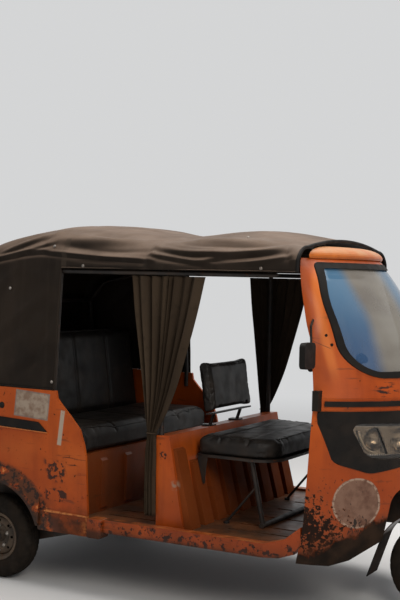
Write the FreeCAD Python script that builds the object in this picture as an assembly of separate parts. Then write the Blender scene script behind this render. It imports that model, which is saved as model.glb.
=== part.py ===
import FreeCAD, Part
import math
import os

# Three-wheeled passenger auto rickshaw.
# Millimetres. X points forward, Y to the vehicle's left, Z up.
# Every place below is measured from the rear axle line and the ground;
# the finished pieces are then moved so that the origin lies under the middle.

V = FreeCAD.Vector

# Overall sizes
WHEELBASE = 1985.0
FRONT_OVERHANG = 255.0
REAR_OVERHANG = 405.0
REAR_TRACK = 1150.0
BODY_HALF_WIDTH = 650.0
MIDDLE_SHIFT = -(WHEELBASE + FRONT_OVERHANG - REAR_OVERHANG) / 2.0

# Wheels
TYRE_DIAMETER = 406.0
BEAD_RADIUS = 106.0
RIM_RADIUS = 115.0
HUB_RADIUS = 31.0
AXLE_RADIUS = 14.5
BORE_RADIUS = 15.5
WHEEL_Z = TYRE_DIAMETER / 2.0
DRUM_RADIUS = 84.0

# Clearances
SEAM = 0.4
SOFT_GAP = 0.4

# Steering
RAKE_DEG = 25.0
STEM_RADIUS = 17.0
HEAD_BORE_RADIUS = 20.0
HEAD_OUTER_RADIUS = 29.0
HEAD_LOW = 350.0
HEAD_HIGH = 620.0
BAR_REACH = 950.0
GUARD_RADIUS = 262.0
GUARD_HALF_WIDTH = 66.0

# Body shell
SHEET = 14.0
FLOOR_Z = 352.0
FLOOR_THICKNESS = 14.0
BELT_Z = 985.0
PANEL_TOP_Z = 935.0
PANEL_BOTTOM_Z = 296.0
SILL_TOP_Z = 364.0
FLOOR_HALF = BODY_HALF_WIDTH - 56.0
TAIL_X = -385.0
TAIL_CORNER_RADIUS = 85.0
TAIL_SPLIT_X = -292.0
ARCH_RADIUS = 280.0
ARCH_Z = 200.0
DOOR_SILL_OUT = BODY_HALF_WIDTH - 9.0
SEAT_WALL_X = 470.0
SEAT_TOP_Z = 640.0

COWL_HALF = BODY_HALF_WIDTH - 50.0


def ahead(rows):
    """Rows whose first number is a place measured forward from the front axle."""
    return [(WHEELBASE + row[0],) + tuple(row[1:]) for row in rows]


def inward(rows):
    """Rows whose second number is measured inward from the body side."""
    return [(row[0], BODY_HALF_WIDTH - row[1]) + tuple(row[2:]) for row in rows]


# Cowl sections from the bottom up: height, half width, corner radius, nose, nose radius
LOWER_COWL = [
    (262.0, COWL_HALF - 8, 180.0, WHEELBASE - 9, COWL_HALF + 20),
    (640.0, COWL_HALF, 180.0, WHEELBASE + 7, COWL_HALF + 20),
    (985.0, COWL_HALF - 2, 180.0, WHEELBASE - 1, COWL_HALF + 20),
]
UPPER_COWL = [
    (985.0, COWL_HALF - 2, 180.0, WHEELBASE - 1, COWL_HALF + 20),
    (1290.0, COWL_HALF - 53, 120.0, WHEELBASE - 143, COWL_HALF + 140),
    (1572.0, COWL_HALF - 102, 110.0, WHEELBASE - 343, COWL_HALF + 200),
]
COWL_BACK_X = WHEELBASE - 615.0

# Canopy sections from the tail forward: place, bottom inset from the body side, shoulder inset,
# shoulder height, inset where the crown starts, crown edge height, crown height
CANOPY = [
    (-372.0, 10.0, 65.0, 1262.0, 130.0, 1330.0, 1352.0),
    (-330.0, 5.0, 58.0, 1372.0, 140.0, 1460.0, 1488.0),
    (-190.0, 3.0, 50.0, 1478.0, 150.0, 1570.0, 1602.0),
    (90.0, 2.0, 46.0, 1540.0, 150.0, 1664.0, 1717.0),
    (440.0, 2.0, 44.0, 1550.0, 150.0, 1672.0, 1727.0),
    (800.0, 4.0, 46.0, 1532.0, 152.0, 1632.0, 1680.0),
    (WHEELBASE - 795.0, 20.0, 54.0, 1540.0, 158.0, 1652.0, 1706.0),
    (WHEELBASE - 457.0, 50.0, 109.0, 1560.0, 210.0, 1618.0, 1661.0),
]
CANOPY_FRONT_X = CANOPY[-1][0]
CANOPY_THICKNESS = 9.0
CANOPY_BOTTOM_Z = PANEL_TOP_Z + SOFT_GAP
ROOF_EDGE_Z = 1508.0
QUARTER_FRONT_X = 345.0


def box(x0, x1, y0, y1, z0, z1):
    return Part.makeBox(x1 - x0, y1 - y0, z1 - z0, V(x0, y0, z0))


def face(points):
    return Part.Face(Part.makePolygon(points + [points[0]]))


def prism_y(outline, y0, y1):
    return face([V(x, y0, z) for x, z in outline]).extrude(V(0, y1 - y0, 0))


def prism_z(outline, z0, z1):
    return face([V(x, y, z0) for x, y in outline]).extrude(V(0, 0, z1 - z0))


def rounded_wire(corners, place):
    """Closed outline with an arc at each corner; corners are (a, b, radius)."""
    edges = []
    ends = []
    count = len(corners)
    for i in range(count):
        a, b, radius = corners[i]
        here = V(a, b, 0)
        before = V(corners[i - 1][0], corners[i - 1][1], 0) - here
        after = V(corners[(i + 1) % count][0], corners[(i + 1) % count][1], 0) - here
        before.normalize()
        after.normalize()
        half = before.getAngle(after) / 2.0
        reach = radius / math.tan(half)
        middle = before + after
        middle.normalize()
        apex = here + middle * (radius / math.sin(half) - radius)
        ends.append((here + before * reach, apex, here + after * reach))
    for i in range(count):
        start, apex, stop = [place(p.x, p.y) for p in ends[i]]
        edges.append(Part.Arc(start, apex, stop).toShape())
        following = place(ends[(i + 1) % count][0].x, ends[(i + 1) % count][0].y)
        if stop.distanceToPoint(following) > 0.01:
            edges.append(Part.makeLine(stop, following))
    return Part.Wire(edges)


def rounded_prism_x(corners, x0, x1):
    wire = rounded_wire(corners, lambda a, b: V(x0, a, b))
    return Part.Face(wire).extrude(V(x1 - x0, 0, 0))


def rounded_prism_y(corners, y0, y1):
    wire = rounded_wire(corners, lambda a, b: V(a, y0, b))
    return Part.Face(wire).extrude(V(0, y1 - y0, 0))


def rod(start, end, radius):
    run = end - start
    return Part.makeCylinder(radius, run.Length, start, run)


def tube_path(points, radius):
    """Round bar along straight runs with ball corners."""
    shape = rod(points[0], points[1], radius)
    for i in range(1, len(points) - 1):
        shape = shape.fuse(Part.makeSphere(radius, points[i]))
        shape = shape.fuse(rod(points[i], points[i + 1], radius))
    return shape.removeSplitter()


def mirrored(shape):
    return shape.mirror(V(0, 0, 0), V(0, 1, 0))


def both(shape):
    return Part.makeCompound([shape, mirrored(shape)])


def revolve_y(profile, centre, side):
    """Turn a (y, radius) outline about the wheel axis; side is the outboard sign."""
    outline = face([V(0, side * y, r) for y, r in profile])
    shape = outline.revolve(V(0, 0, 0), V(0, 1, 0), 360)
    shape.translate(centre)
    return shape


def on_axis(reach, side_offset=0.0):
    """Point on the steering axis, reach millimetres above the front wheel centre."""
    rake = math.radians(RAKE_DEG)
    return V(WHEELBASE - reach * math.sin(rake), side_offset, WHEEL_Z + reach * math.cos(rake))


# Bullet-shaped plan sections of the cowl
def cowl_section(row, inset, dz, back):
    z, half_width, corner, nose, front = row
    w = half_width - inset
    rc = corner - inset
    rf = front - inset
    centre_x = nose - front
    corner_y = w - rc
    corner_x = centre_x + math.sqrt((rf - rc) ** 2 - corner_y ** 2)
    out = math.atan2(corner_y, corner_x - centre_x)
    mid = (math.pi / 2.0 + out) / 2.0
    height = z + dz

    def at(cx, cy, radius, angle, side):
        return V(cx + radius * math.cos(angle), side * (cy + radius * math.sin(angle)), height)

    edges = []
    edges.append(Part.makeLine(V(back, -w, height), V(corner_x, -w, height)))
    right_join = at(centre_x, 0, rf, out, -1)
    left_join = at(centre_x, 0, rf, out, 1)
    edges.append(Part.Arc(V(corner_x, -w, height), at(corner_x, corner_y, rc, mid, -1), right_join).toShape())
    edges.append(Part.Arc(right_join, V(centre_x + rf, 0, height), left_join).toShape())
    edges.append(Part.Arc(left_join, at(corner_x, corner_y, rc, mid, 1), V(corner_x, w, height)).toShape())
    edges.append(Part.makeLine(V(corner_x, w, height), V(back, w, height)))
    edges.append(Part.makeLine(V(back, w, height), V(back, -w, height)))
    return Part.Wire(edges)


def cowl_solid(rows, inset, stretch=0.0):
    last = len(rows) - 1
    wires = []
    for i, row in enumerate(rows):
        dz = -stretch if i == 0 else (stretch if i == last else 0.0)
        wires.append(cowl_section(row, inset, dz, COWL_BACK_X - stretch))
    return Part.makeLoft(wires, True, False)


def cowl_layer(rows, outer_inset, inner_inset):
    return cowl_solid(rows, outer_inset).cut(cowl_solid(rows, inner_inset, 2.0))


# Canopy shell sections
def canopy_section(row, inset, bottom):
    x, bottom_in, shoulder_in, zs, crown_in, ze, zc = row
    wb = BODY_HALF_WIDTH - bottom_in - inset
    ws = BODY_HALF_WIDTH - shoulder_in - inset
    wc = BODY_HALF_WIDTH - crown_in - inset * 0.6
    zs, ze, zc = zs - inset * 0.4, ze - inset * 0.9, zc - inset
    knee_y = (ws + wc) / 2.0 + (ws - wc) * 0.17
    knee_z = (zs + ze) / 2.0 + (ze - zs) * 0.15
    edges = [
        Part.makeLine(V(x, -wb, bottom), V(x, -ws, zs)),
        Part.Arc(V(x, -ws, zs), V(x, -knee_y, knee_z), V(x, -wc, ze)).toShape(),
        Part.Arc(V(x, -wc, ze), V(x, 0, zc), V(x, wc, ze)).toShape(),
        Part.Arc(V(x, wc, ze), V(x, knee_y, knee_z), V(x, ws, zs)).toShape(),
        Part.makeLine(V(x, ws, zs), V(x, wb, bottom)),
        Part.makeLine(V(x, wb, bottom), V(x, -wb, bottom)),
    ]
    return Part.Wire(edges)


def canopy_solid(inset, bottom, shift=0.0):
    """Loft through the sections; shift moves the first and last section forward."""
    wires = []
    last = len(CANOPY) - 1
    for i, row in enumerate(CANOPY):
        moved = (row[0] + (shift if i in (0, last) else 0.0),) + row[1:]
        wires.append(canopy_section(moved, inset, bottom))
    return Part.makeLoft(wires, True, False)


# Window outline in the cowl: place across and height of the corners, corner radius
WINDOW_TOP = COWL_HALF - 180.0
WINDOW_WAIST = COWL_HALF - 111.0
WINDOW_BOTTOM = COWL_HALF - 114.0
WINDOW = [
    (-WINDOW_TOP, 1556.0, 45.0),
    (WINDOW_TOP, 1556.0, 45.0),
    (WINDOW_WAIST, 1400.0, 260.0),
    (WINDOW_BOTTOM, 1066.0, 150.0),
    (-WINDOW_BOTTOM, 1066.0, 150.0),
    (-WINDOW_WAIST, 1400.0, 260.0),
]
WINDOW_MIDDLE_Z = 1300.0
LONG_CORNER = 200.0


def window_prism(shrink):
    corners = []
    for y, z, radius in WINDOW:
        side = 1.0 if y > 0 else -1.0
        up = 1.0 if z > WINDOW_MIDDLE_Z else -1.0
        raised = 0.0 if radius > LONG_CORNER else up * shrink
        corners.append((y - side * shrink, z - raised, max(radius - shrink, 20.0)))
    return rounded_prism_x(corners, WHEELBASE - 505, WHEELBASE + 115)


# Wheels
TYRE_SIDE = [
    (33.6, BEAD_RADIUS), (35.5, RIM_RADIUS + 1.6), (41.0, RIM_RADIUS + 2.2), (46.0, 130.0), (50.0, 155.0),
    (45.0, 184.0), (36.0, 196.0), (18.0, 201.5),
]
TYRE_PROFILE = [(-y, r) for y, r in TYRE_SIDE] + [(0.0, TYRE_DIAMETER / 2)] + TYRE_SIDE[::-1]
# The rim drops from the outer flange to the well and its disc turns in to the hub.
RIM_PROFILE = [
    (40.0, RIM_RADIUS), (36.0, RIM_RADIUS + 1), (34.0, BEAD_RADIUS - SEAM), (20.0, BEAD_RADIUS - SEAM),
    (16.0, 98.0), (-16.0, 98.0), (-20.0, BEAD_RADIUS - SEAM), (-34.0, BEAD_RADIUS - SEAM),
    (-36.0, RIM_RADIUS + 1), (-40.0, RIM_RADIUS), (-38.0, 102.0), (-22.0, 101.0), (-18.0, 93.0),
    (4.0, 93.0), (14.0, 84.0), (22.0, 62.0), (14.0, 46.0), (12.0, HUB_RADIUS), (-22.0, HUB_RADIUS - 3),
    (-22.0, BORE_RADIUS), (36.0, BORE_RADIUS), (36.0, HUB_RADIUS - 6), (18.0, HUB_RADIUS),
    (19.0, 46.0), (27.0, 62.0), (19.0, 86.0), (10.0, 94.0), (18.0, 94.0), (22.0, 101.0), (38.0, 102.0),
]
RIM_HOLES = 8
RIM_HOLE_RADIUS = 7.0
RIM_HOLE_CIRCLE = 74.0


def wheel(centre, side):
    tyre = revolve_y(TYRE_PROFILE, centre, side)
    rim = revolve_y(RIM_PROFILE, centre, side)
    for k in range(RIM_HOLES):
        angle = 2 * math.pi * k / RIM_HOLES
        spot = centre + V(RIM_HOLE_CIRCLE * math.cos(angle), 0, RIM_HOLE_CIRCLE * math.sin(angle))
        rim = rim.cut(rod(spot + V(0, -60, 0), spot + V(0, 60, 0), RIM_HOLE_RADIUS))
    return tyre, rim


LEFT_CENTRE = V(0, REAR_TRACK / 2, WHEEL_Z)
RIGHT_CENTRE = V(0, -REAR_TRACK / 2, WHEEL_Z)
FRONT_CENTRE = V(WHEELBASE, 0, WHEEL_Z)
nodes = {}
nodes["rear_left_tyre"], nodes["rear_left_rim"] = wheel(LEFT_CENTRE, 1)
nodes["rear_right_tyre"], nodes["rear_right_rim"] = wheel(RIGHT_CENTRE, -1)
nodes["front_tyre"], nodes["front_rim"] = wheel(FRONT_CENTRE, -1)

# Rear trailing arms, each with its brake drum and stub axle
ARM_PIVOT_X = 330.0
ARM_PIVOT_Z = 262.0
ARM_OUT = REAR_TRACK / 2 - 69.0
ARM_IN = ARM_OUT - 51.0


def trailing_arm():
    hub = LEFT_CENTRE
    drum = rod(V(0, REAR_TRACK / 2 - 70, hub.z), V(0, REAR_TRACK / 2 - 24, hub.z), DRUM_RADIUS)
    stub = rod(V(0, ARM_IN, hub.z), V(0, REAR_TRACK / 2 + 43, hub.z), AXLE_RADIUS)
    cap = rod(V(0, REAR_TRACK / 2 + 37, hub.z), V(0, REAR_TRACK / 2 + 43, hub.z), 22)
    body = prism_y([(-52, 160), (60, 158), (ARM_PIVOT_X + 14, 234), (ARM_PIVOT_X + 14, 290),
                    (40, 262), (-40, 258)], ARM_IN, ARM_OUT)
    pocket = prism_y([(70, 190), (ARM_PIVOT_X - 40, 243), (ARM_PIVOT_X - 40, 262), (70, 240)], ARM_IN - 5, ARM_OUT - 14)
    body = body.cut(pocket)
    body = body.cut(rod(V(ARM_PIVOT_X, ARM_IN - 15, ARM_PIVOT_Z), V(ARM_PIVOT_X, ARM_OUT + 14, ARM_PIVOT_Z), 13.4))
    return body.fuse(drum).fuse(stub).fuse(cap).removeSplitter()


nodes["trailing_arms"] = both(trailing_arm())

# Spring and damper above each arm, with the coil drawn as a ribbed sleeve
SPRING_Y = ARM_IN + 15.0
SPRING_FOOT = V(62, SPRING_Y, 258)
SPRING_HEAD = V(118, SPRING_Y, 508)
ARM_TOP = [(-40, 200), (-40, 262.4), (40, 262.4), (ARM_PIVOT_X + 14, 290.4), (ARM_PIVOT_X + 14, 200)]
TOWER_Z = 500.4


def spring_unit():
    turns = 8
    length = SPRING_HEAD.distanceToPoint(SPRING_FOOT)
    profile = [V(0, 0, 0), V(16, 0, 0), V(16, 0, 20)]
    pitch = (length - 54.0) / turns
    for k in range(turns):
        z = 20 + k * pitch
        profile += [V(27, 0, z + 0.5), V(37, 0, z + pitch * 0.3), V(37, 0, z + pitch * 0.6)]
        profile.append(V(27, 0, z + pitch - 0.5))
    profile += [V(30, 0, length - 24), V(30, 0, length), V(0, 0, length)]
    shape = face(profile).revolve(V(0, 0, 0), V(0, 0, 1), 360)
    run = SPRING_HEAD - SPRING_FOOT
    shape.Placement = FreeCAD.Placement(SPRING_FOOT, FreeCAD.Rotation(V(0, 0, 1), run))
    shape = shape.cut(prism_y(ARM_TOP, ARM_IN - 40, ARM_OUT + 40))
    return shape.cut(box(0, 240, ARM_IN - 60, ARM_OUT + 60, TOWER_Z - SEAM, TOWER_Z + 60))


nodes["rear_springs"] = both(spring_unit())

# Engine as one plain block at its real size, with the drive shafts and silencer
RAIL_Y = 236.0
RAIL_HALF = 26.0
ENGINE_HALF = RAIL_Y - RAIL_HALF - SEAM
nodes["engine_block"] = box(-250, 60, -ENGINE_HALF, ENGINE_HALF, 196, 560)
nodes["drive_shafts"] = both(rod(V(0, ENGINE_HALF + SEAM, WHEEL_Z + 8), V(0, ARM_IN - 0.5, WHEEL_Z), 13))
silencer = rod(V(-318, -150, 262), V(-318, 210, 262), 62)
silencer = silencer.fuse(tube_path([V(-318, 206, 262), V(-318, 250, 258), V(-396, 268, 236)], 17))
silencer = silencer.fuse(tube_path([V(-300, -120, 290), V(-272, -120, 330), V(-250.4, -120, 330)], 15))
nodes["silencer"] = silencer.removeSplitter()

# Chassis frame: two long members, cross members and the raked head tube
RAIL_LOW_Z = 276.0
RAIL_TOP_Z = FLOOR_Z - FLOOR_THICKNESS - SEAM
frame = box(-236, WHEELBASE - 425, RAIL_Y - RAIL_HALF, RAIL_Y + RAIL_HALF, RAIL_LOW_Z, RAIL_TOP_Z)
frame = frame.fuse(box(92, 150, RAIL_Y - RAIL_HALF, ARM_OUT, TOWER_Z, TOWER_Z + 12))
frame = frame.fuse(box(92, 150, RAIL_Y - RAIL_HALF, RAIL_Y, RAIL_TOP_Z - 20, TOWER_Z + 12))
frame = frame.fuse(mirrored(frame))
for x in (100.0, 560.0, 1080.0, WHEELBASE - 485):
    frame = frame.fuse(box(x, x + 60, -RAIL_Y, RAIL_Y, 284, RAIL_TOP_Z))
# Outriggers: place, half width
OUTRIGGERS = [(454.0, FLOOR_HALF), (640.0, FLOOR_HALF), (1100.0, FLOOR_HALF), (WHEELBASE - 545, FLOOR_HALF - 16)]
for x, half_width in OUTRIGGERS:
    frame = frame.fuse(box(x, x + 46, -half_width, half_width, 296, RAIL_TOP_Z))
frame = frame.fuse(box(ARM_PIVOT_X - 30, ARM_PIVOT_X + 30, -ARM_IN + 5, ARM_IN - 5, 236, 290))
pin_end = ARM_OUT + 2
frame = frame.fuse(rod(V(ARM_PIVOT_X, -pin_end, ARM_PIVOT_Z), V(ARM_PIVOT_X, pin_end, ARM_PIVOT_Z), 12))
frame = frame.fuse(rod(V(ARM_PIVOT_X, pin_end - 1, ARM_PIVOT_Z), V(ARM_PIVOT_X, pin_end + 6, ARM_PIVOT_Z), 22))
frame = frame.fuse(rod(V(ARM_PIVOT_X, 1 - pin_end, ARM_PIVOT_Z), V(ARM_PIVOT_X, -pin_end - 6, ARM_PIVOT_Z), 22))
NECK_HALF = 34.0
neck = prism_y(ahead([(-505, 276), (-385, 276), (-273, 470), (-269, 640), (-325, 640), (-425, 352), (-505, 332)]),
               -NECK_HALF, NECK_HALF)
head_tube = rod(on_axis(HEAD_LOW), on_axis(HEAD_HIGH), HEAD_OUTER_RADIUS)
frame = frame.fuse(neck)
frame = frame.fuse(prism_y(ahead([(-295, 440), (-185, 560), (-225, 660), (-295, 640)]), -20, 20))
frame = frame.fuse(head_tube)
frame = frame.cut(rod(on_axis(HEAD_LOW - 20), on_axis(HEAD_HIGH + 20), HEAD_BORE_RADIUS))
nodes["chassis_frame"] = frame.removeSplitter()

# Steering: stem, crown, one-sided leg with its link, stub axle and brake drum
FORK_Y = 92.0
LINK_PIVOT = V(WHEELBASE - 148, FORK_Y, 176)
CROWN_REACH = 300.0
stem = rod(on_axis(CROWN_REACH - 26), on_axis(BAR_REACH + 12), STEM_RADIUS)
collar = rod(on_axis(HEAD_LOW - 22), on_axis(HEAD_LOW - 5), 30)
top_collar = rod(on_axis(HEAD_HIGH + 5), on_axis(HEAD_HIGH + 24), 30)
leg = tube_path([on_axis(CROWN_REACH), on_axis(CROWN_REACH - 14, FORK_Y), V(WHEELBASE - 150, FORK_Y, 400),
                 LINK_PIVOT], 19)
link = prism_y([(LINK_PIVOT.x - 22, 156), (WHEELBASE + 22, 180), (WHEELBASE + 24, 226),
                (LINK_PIVOT.x - 10, 200), (LINK_PIVOT.x - 26, 190)], FORK_Y - 16, FORK_Y + 14)
front_drum = rod(V(WHEELBASE, 24, WHEEL_Z), V(WHEELBASE, 62, WHEEL_Z), DRUM_RADIUS)
front_stub = rod(V(WHEELBASE, -43, WHEEL_Z), V(WHEELBASE, FORK_Y + 30, WHEEL_Z), AXLE_RADIUS)
front_cap = rod(V(WHEELBASE, -43, WHEEL_Z), V(WHEELBASE, -37, WHEEL_Z), 22)
damper_foot = V(WHEELBASE - 30, FORK_Y + 4, 222)
damper_head = V(WHEELBASE - 118, FORK_Y + 4, 412)
damper = rod(damper_foot, damper_head, 17)
fork = stem.fuse([collar, top_collar, leg, link, front_drum, front_stub, front_cap, damper])
nodes["steering_fork"] = fork.removeSplitter()

# Handlebar with swept grips and the switch boxes
BAR_CENTRE = on_axis(BAR_REACH)
rake_up = V(-math.sin(math.radians(RAKE_DEG)), 0, math.cos(math.radians(RAKE_DEG)))
rake_front = V(math.cos(math.radians(RAKE_DEG)), 0, math.sin(math.radians(RAKE_DEG)))
bar_points = []
for y, front, up in ((-335, -62, 34), (-190, -22, 34), (-90, 0, 8), (90, 0, 8), (190, -22, 34), (335, -62, 34)):
    bar_points.append(BAR_CENTRE + rake_front * front + rake_up * (up + 22) + V(0, y, 0))
bar = tube_path(bar_points, 11)
clamp = rod(BAR_CENTRE + rake_up * 13, BAR_CENTRE + rake_up * 40, 26)
for side in (0, 1):
    outer_end = bar_points[-1] if side else bar_points[0]
    inner_end = bar_points[-2] if side else bar_points[1]
    along = (inner_end - outer_end).normalize()
    bar = bar.fuse(rod(outer_end, outer_end + along * 112, 17))
    bar = bar.fuse(rod(outer_end + along * 118, outer_end + along * 158, 24))
nodes["handlebar"] = bar.fuse(clamp).removeSplitter()

# Front mudguard, closer at the front than at the rear, with its stays and flap
guard_outer = rod(V(WHEELBASE, -GUARD_HALF_WIDTH, WHEEL_Z), V(WHEELBASE, GUARD_HALF_WIDTH, WHEEL_Z), GUARD_RADIUS)
guard_inner = rod(V(WHEELBASE, -90, WHEEL_Z), V(WHEELBASE, 90, WHEEL_Z), GUARD_RADIUS - 4)
tip_rise = math.sqrt(GUARD_RADIUS ** 2 - FRONT_OVERHANG ** 2)
guard_keep = prism_y([(WHEELBASE, WHEEL_Z), (WHEELBASE + 2 * FRONT_OVERHANG, WHEEL_Z + 2 * tip_rise),
                      (WHEELBASE + 2 * FRONT_OVERHANG, 700), (WHEELBASE - 400, 700), (WHEELBASE - 400, 425)], -200, 200)
guard = guard_outer.cut(guard_inner).common(guard_keep)
guard = guard.fuse(rod(on_axis(GUARD_RADIUS - 4), on_axis(CROWN_REACH - 26.4), 24))
flap = prism_y(ahead([(-228, 330), (-215, 352), (-211, 352), (-225, 328), (-293, 134), (-298, 134)]),
               -GUARD_HALF_WIDTH, GUARD_HALF_WIDTH)
nodes["front_mudguard"] = guard.fuse(flap).removeSplitter()

# Floor with pressed ribs
floor = prism_z([(SEAT_WALL_X + 14.4, -FLOOR_HALF), (WHEELBASE - 535, -FLOOR_HALF), (WHEELBASE - 377, 54 - FLOOR_HALF),
                 (WHEELBASE - 377, FLOOR_HALF - 54), (WHEELBASE - 535, FLOOR_HALF), (SEAT_WALL_X + 14.4, FLOOR_HALF)],
                FLOOR_Z - FLOOR_THICKNESS, FLOOR_Z)
for y in (-480, -360, 360, 480):
    floor = floor.cut(box(560, 840, y - 12, y + 12, FLOOR_Z - 4, FLOOR_Z + 1))
for y in (-420, -300, -100, 100, 300, 420):
    floor = floor.cut(box(1160, WHEELBASE - 485, y - 10, y + 10, FLOOR_Z - 4, FLOOR_Z + 1))
floor = floor.cut(box(WHEELBASE - 489, WHEELBASE, -NECK_HALF - SEAM, NECK_HALF + SEAM, 300, 400))
nodes["floor_pan"] = floor

# Door sills: a level run that turns up into the cowl, and the deeper step ahead of the rear wheel
SILL_IN = FLOOR_HALF + SEAM
SILL_PROFILE = [(632, SILL_TOP_Z)] + ahead([(-545, SILL_TOP_Z), (-465, 384), (-405, 436), (-401, 372), (-425, 322),
                                            (-485, 304)]) + [(632, 304)]
SILL_PLAN = [(600, SILL_IN)] + ahead([(-535, SILL_IN), (-379, SILL_IN - 53), (-379, SILL_IN - 28),
                                      (-545, DOOR_SILL_OUT)]) + [(600, DOOR_SILL_OUT)]
APRON_SIDE = ahead([(-419.5, 200), (-419.5, 286), (-393.5, 438), (-380, 650), (-300, 650), (-300, 200)])
sill = prism_y(SILL_PROFILE, SILL_IN - 60, DOOR_SILL_OUT)
sill = sill.common(prism_z(SILL_PLAN, 200, 600)).cut(prism_y(APRON_SIDE, 400, 900))
step = rounded_prism_y([(553, 276, 8), (629, 276, 14), (629, SILL_TOP_Z, 14), (553, SILL_TOP_Z, 8)],
                       SILL_IN, BODY_HALF_WIDTH + 8)
nodes["door_sills"] = both(sill.fuse(step).removeSplitter())

# Rear tub: side panels with the wheel arches, and the tail panel with the engine opening
SIDE_PROFILE = [
    (TAIL_X - 10, PANEL_TOP_Z), (360, PANEL_TOP_Z), (366, 900), (396, 868), (450, 815), (497, 764), (521, 697),
    (534, 642), (550, SILL_TOP_Z + 2), (552, 276), (256, 276), (256, 100), (TAIL_X - 10, 100),
]
TUB_FRONT_X = 560.0


def tub(inset):
    radius = TAIL_CORNER_RADIUS - inset
    w = BODY_HALF_WIDTH - inset
    x0 = TAIL_X + inset
    wire = rounded_wire([(x0, -w, radius), (TUB_FRONT_X + 40 + inset, -w, 1.0), (TUB_FRONT_X + 40 + inset, w, 1.0),
                         (x0, w, radius)], lambda a, b: V(a, b, PANEL_BOTTOM_Z - 20 - inset))
    return Part.Face(wire).extrude(V(0, 0, 700 + 2 * inset))


shell = tub(0).cut(tub(SHEET))
shell = shell.common(prism_y(SIDE_PROFILE, -800, 800))
arch = rod(V(0, -800, ARCH_Z), V(0, 800, ARCH_Z), ARCH_RADIUS)
shell = shell.cut(arch)
shell = shell.cut(box(TAIL_X - 20, 255, -800, 800, 0, PANEL_BOTTOM_Z))
sides = shell.cut(box(TAIL_X - 20, TAIL_SPLIT_X, -800, 800, 0, 1400))
side_left = sides.common(box(-1000, 1000, 0, 900, 0, 1400))
# Pressed flare round the wheel arch: it stands proud at the edge and dies into the panel.
FLARE = [(-12.0, ARCH_RADIUS), (14.0, ARCH_RADIUS), (14.0, ARCH_RADIUS + 12), (7.0, ARCH_RADIUS + 56),
         (0.5, ARCH_RADIUS + 88), (-12.0, ARCH_RADIUS + 88)]
flare = revolve_y(FLARE, V(0, BODY_HALF_WIDTH, ARCH_Z), 1)
flare = flare.cut(box(-400, 400, 400, 900, -200, PANEL_BOTTOM_Z))
flare = flare.cut(box(276, 500, 400, 900, -200, 900)).cut(box(-500, TAIL_SPLIT_X, 400, 900, -200, 900))
side_left = side_left.fuse(flare)
ribs = prism_y([(282, 366), (548, 366), (548, 372), (282, 372)], BODY_HALF_WIDTH - 4, BODY_HALF_WIDTH + 6)
side_left = side_left.fuse(ribs).removeSplitter()
nodes["rear_side_panels"] = both(side_left)

LID_HALF_WIDTH = 318.0
LID_LOW_Z = 362.0
LID_HIGH_Z = 618.0
LID_GAP = 5.0
tail = shell.common(box(TAIL_X - 20, TAIL_SPLIT_X - SEAM, -800, 800, 0, 1400))
tail = tail.cut(box(TAIL_X - 20, TAIL_X + 40, -LID_HALF_WIDTH - LID_GAP, LID_HALF_WIDTH + LID_GAP,
                    LID_LOW_Z - LID_GAP, LID_HIGH_Z + LID_GAP))
HINGE_X = TAIL_X - 5.0
HINGE_Z = LID_HIGH_Z + 2.0
PIN_RADIUS = 2.5
HINGE_PLACES = (-230.0, 230.0)
for y in HINGE_PLACES:
    pin = rod(V(HINGE_X, y - 36, HINGE_Z), V(HINGE_X, y + 36, HINGE_Z), PIN_RADIUS)
    tail = tail.fuse(pin)
    for start in (y - 36, y + 23):
        tail = tail.fuse(rod(V(HINGE_X, start, HINGE_Z), V(HINGE_X, start + 13, HINGE_Z), 5))
        tail = tail.fuse(box(HINGE_X - 1, TAIL_X + 1, start, start + 13, HINGE_Z + 4, HINGE_Z + 30))
        tail = tail.fuse(box(HINGE_X - 1, HINGE_X + 2, start, start + 13, HINGE_Z, HINGE_Z + 8))
nodes["rear_panel"] = tail.removeSplitter()
lid = rounded_prism_x([(-LID_HALF_WIDTH, LID_LOW_Z, 20), (LID_HALF_WIDTH, LID_LOW_Z, 20),
                       (LID_HALF_WIDTH, LID_HIGH_Z, 20), (-LID_HALF_WIDTH, LID_HIGH_Z, 20)], TAIL_X, TAIL_X + 10)
for k in range(5):
    z = 418 + 34 * k
    slot = rounded_prism_x([(-180, z, 7), (180, z, 7), (180, z + 16, 7), (-180, z + 16, 7)], TAIL_X - 5, TAIL_X + 20)
    lid = lid.cut(slot)
for y in HINGE_PLACES:
    lid = lid.fuse(rod(V(HINGE_X, y - 22, HINGE_Z), V(HINGE_X, y + 22, HINGE_Z), 5))
    lid = lid.fuse(box(HINGE_X - 1, HINGE_X + 1, y - 22, y + 22, HINGE_Z - 30, HINGE_Z))
    lid = lid.fuse(box(HINGE_X - 1, TAIL_X + 1, y - 22, y + 22, HINGE_Z - 30, HINGE_Z - 6))
    lid = lid.cut(rod(V(HINGE_X, y - 30, HINGE_Z), V(HINGE_X, y + 30, HINGE_Z), PIN_RADIUS + 0.08))
lid = lid.fuse(box(TAIL_X - 16, TAIL_X, -26, 26, LID_LOW_Z + 18, LID_LOW_Z + 34))
nodes["engine_lid"] = lid.removeSplitter()

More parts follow.
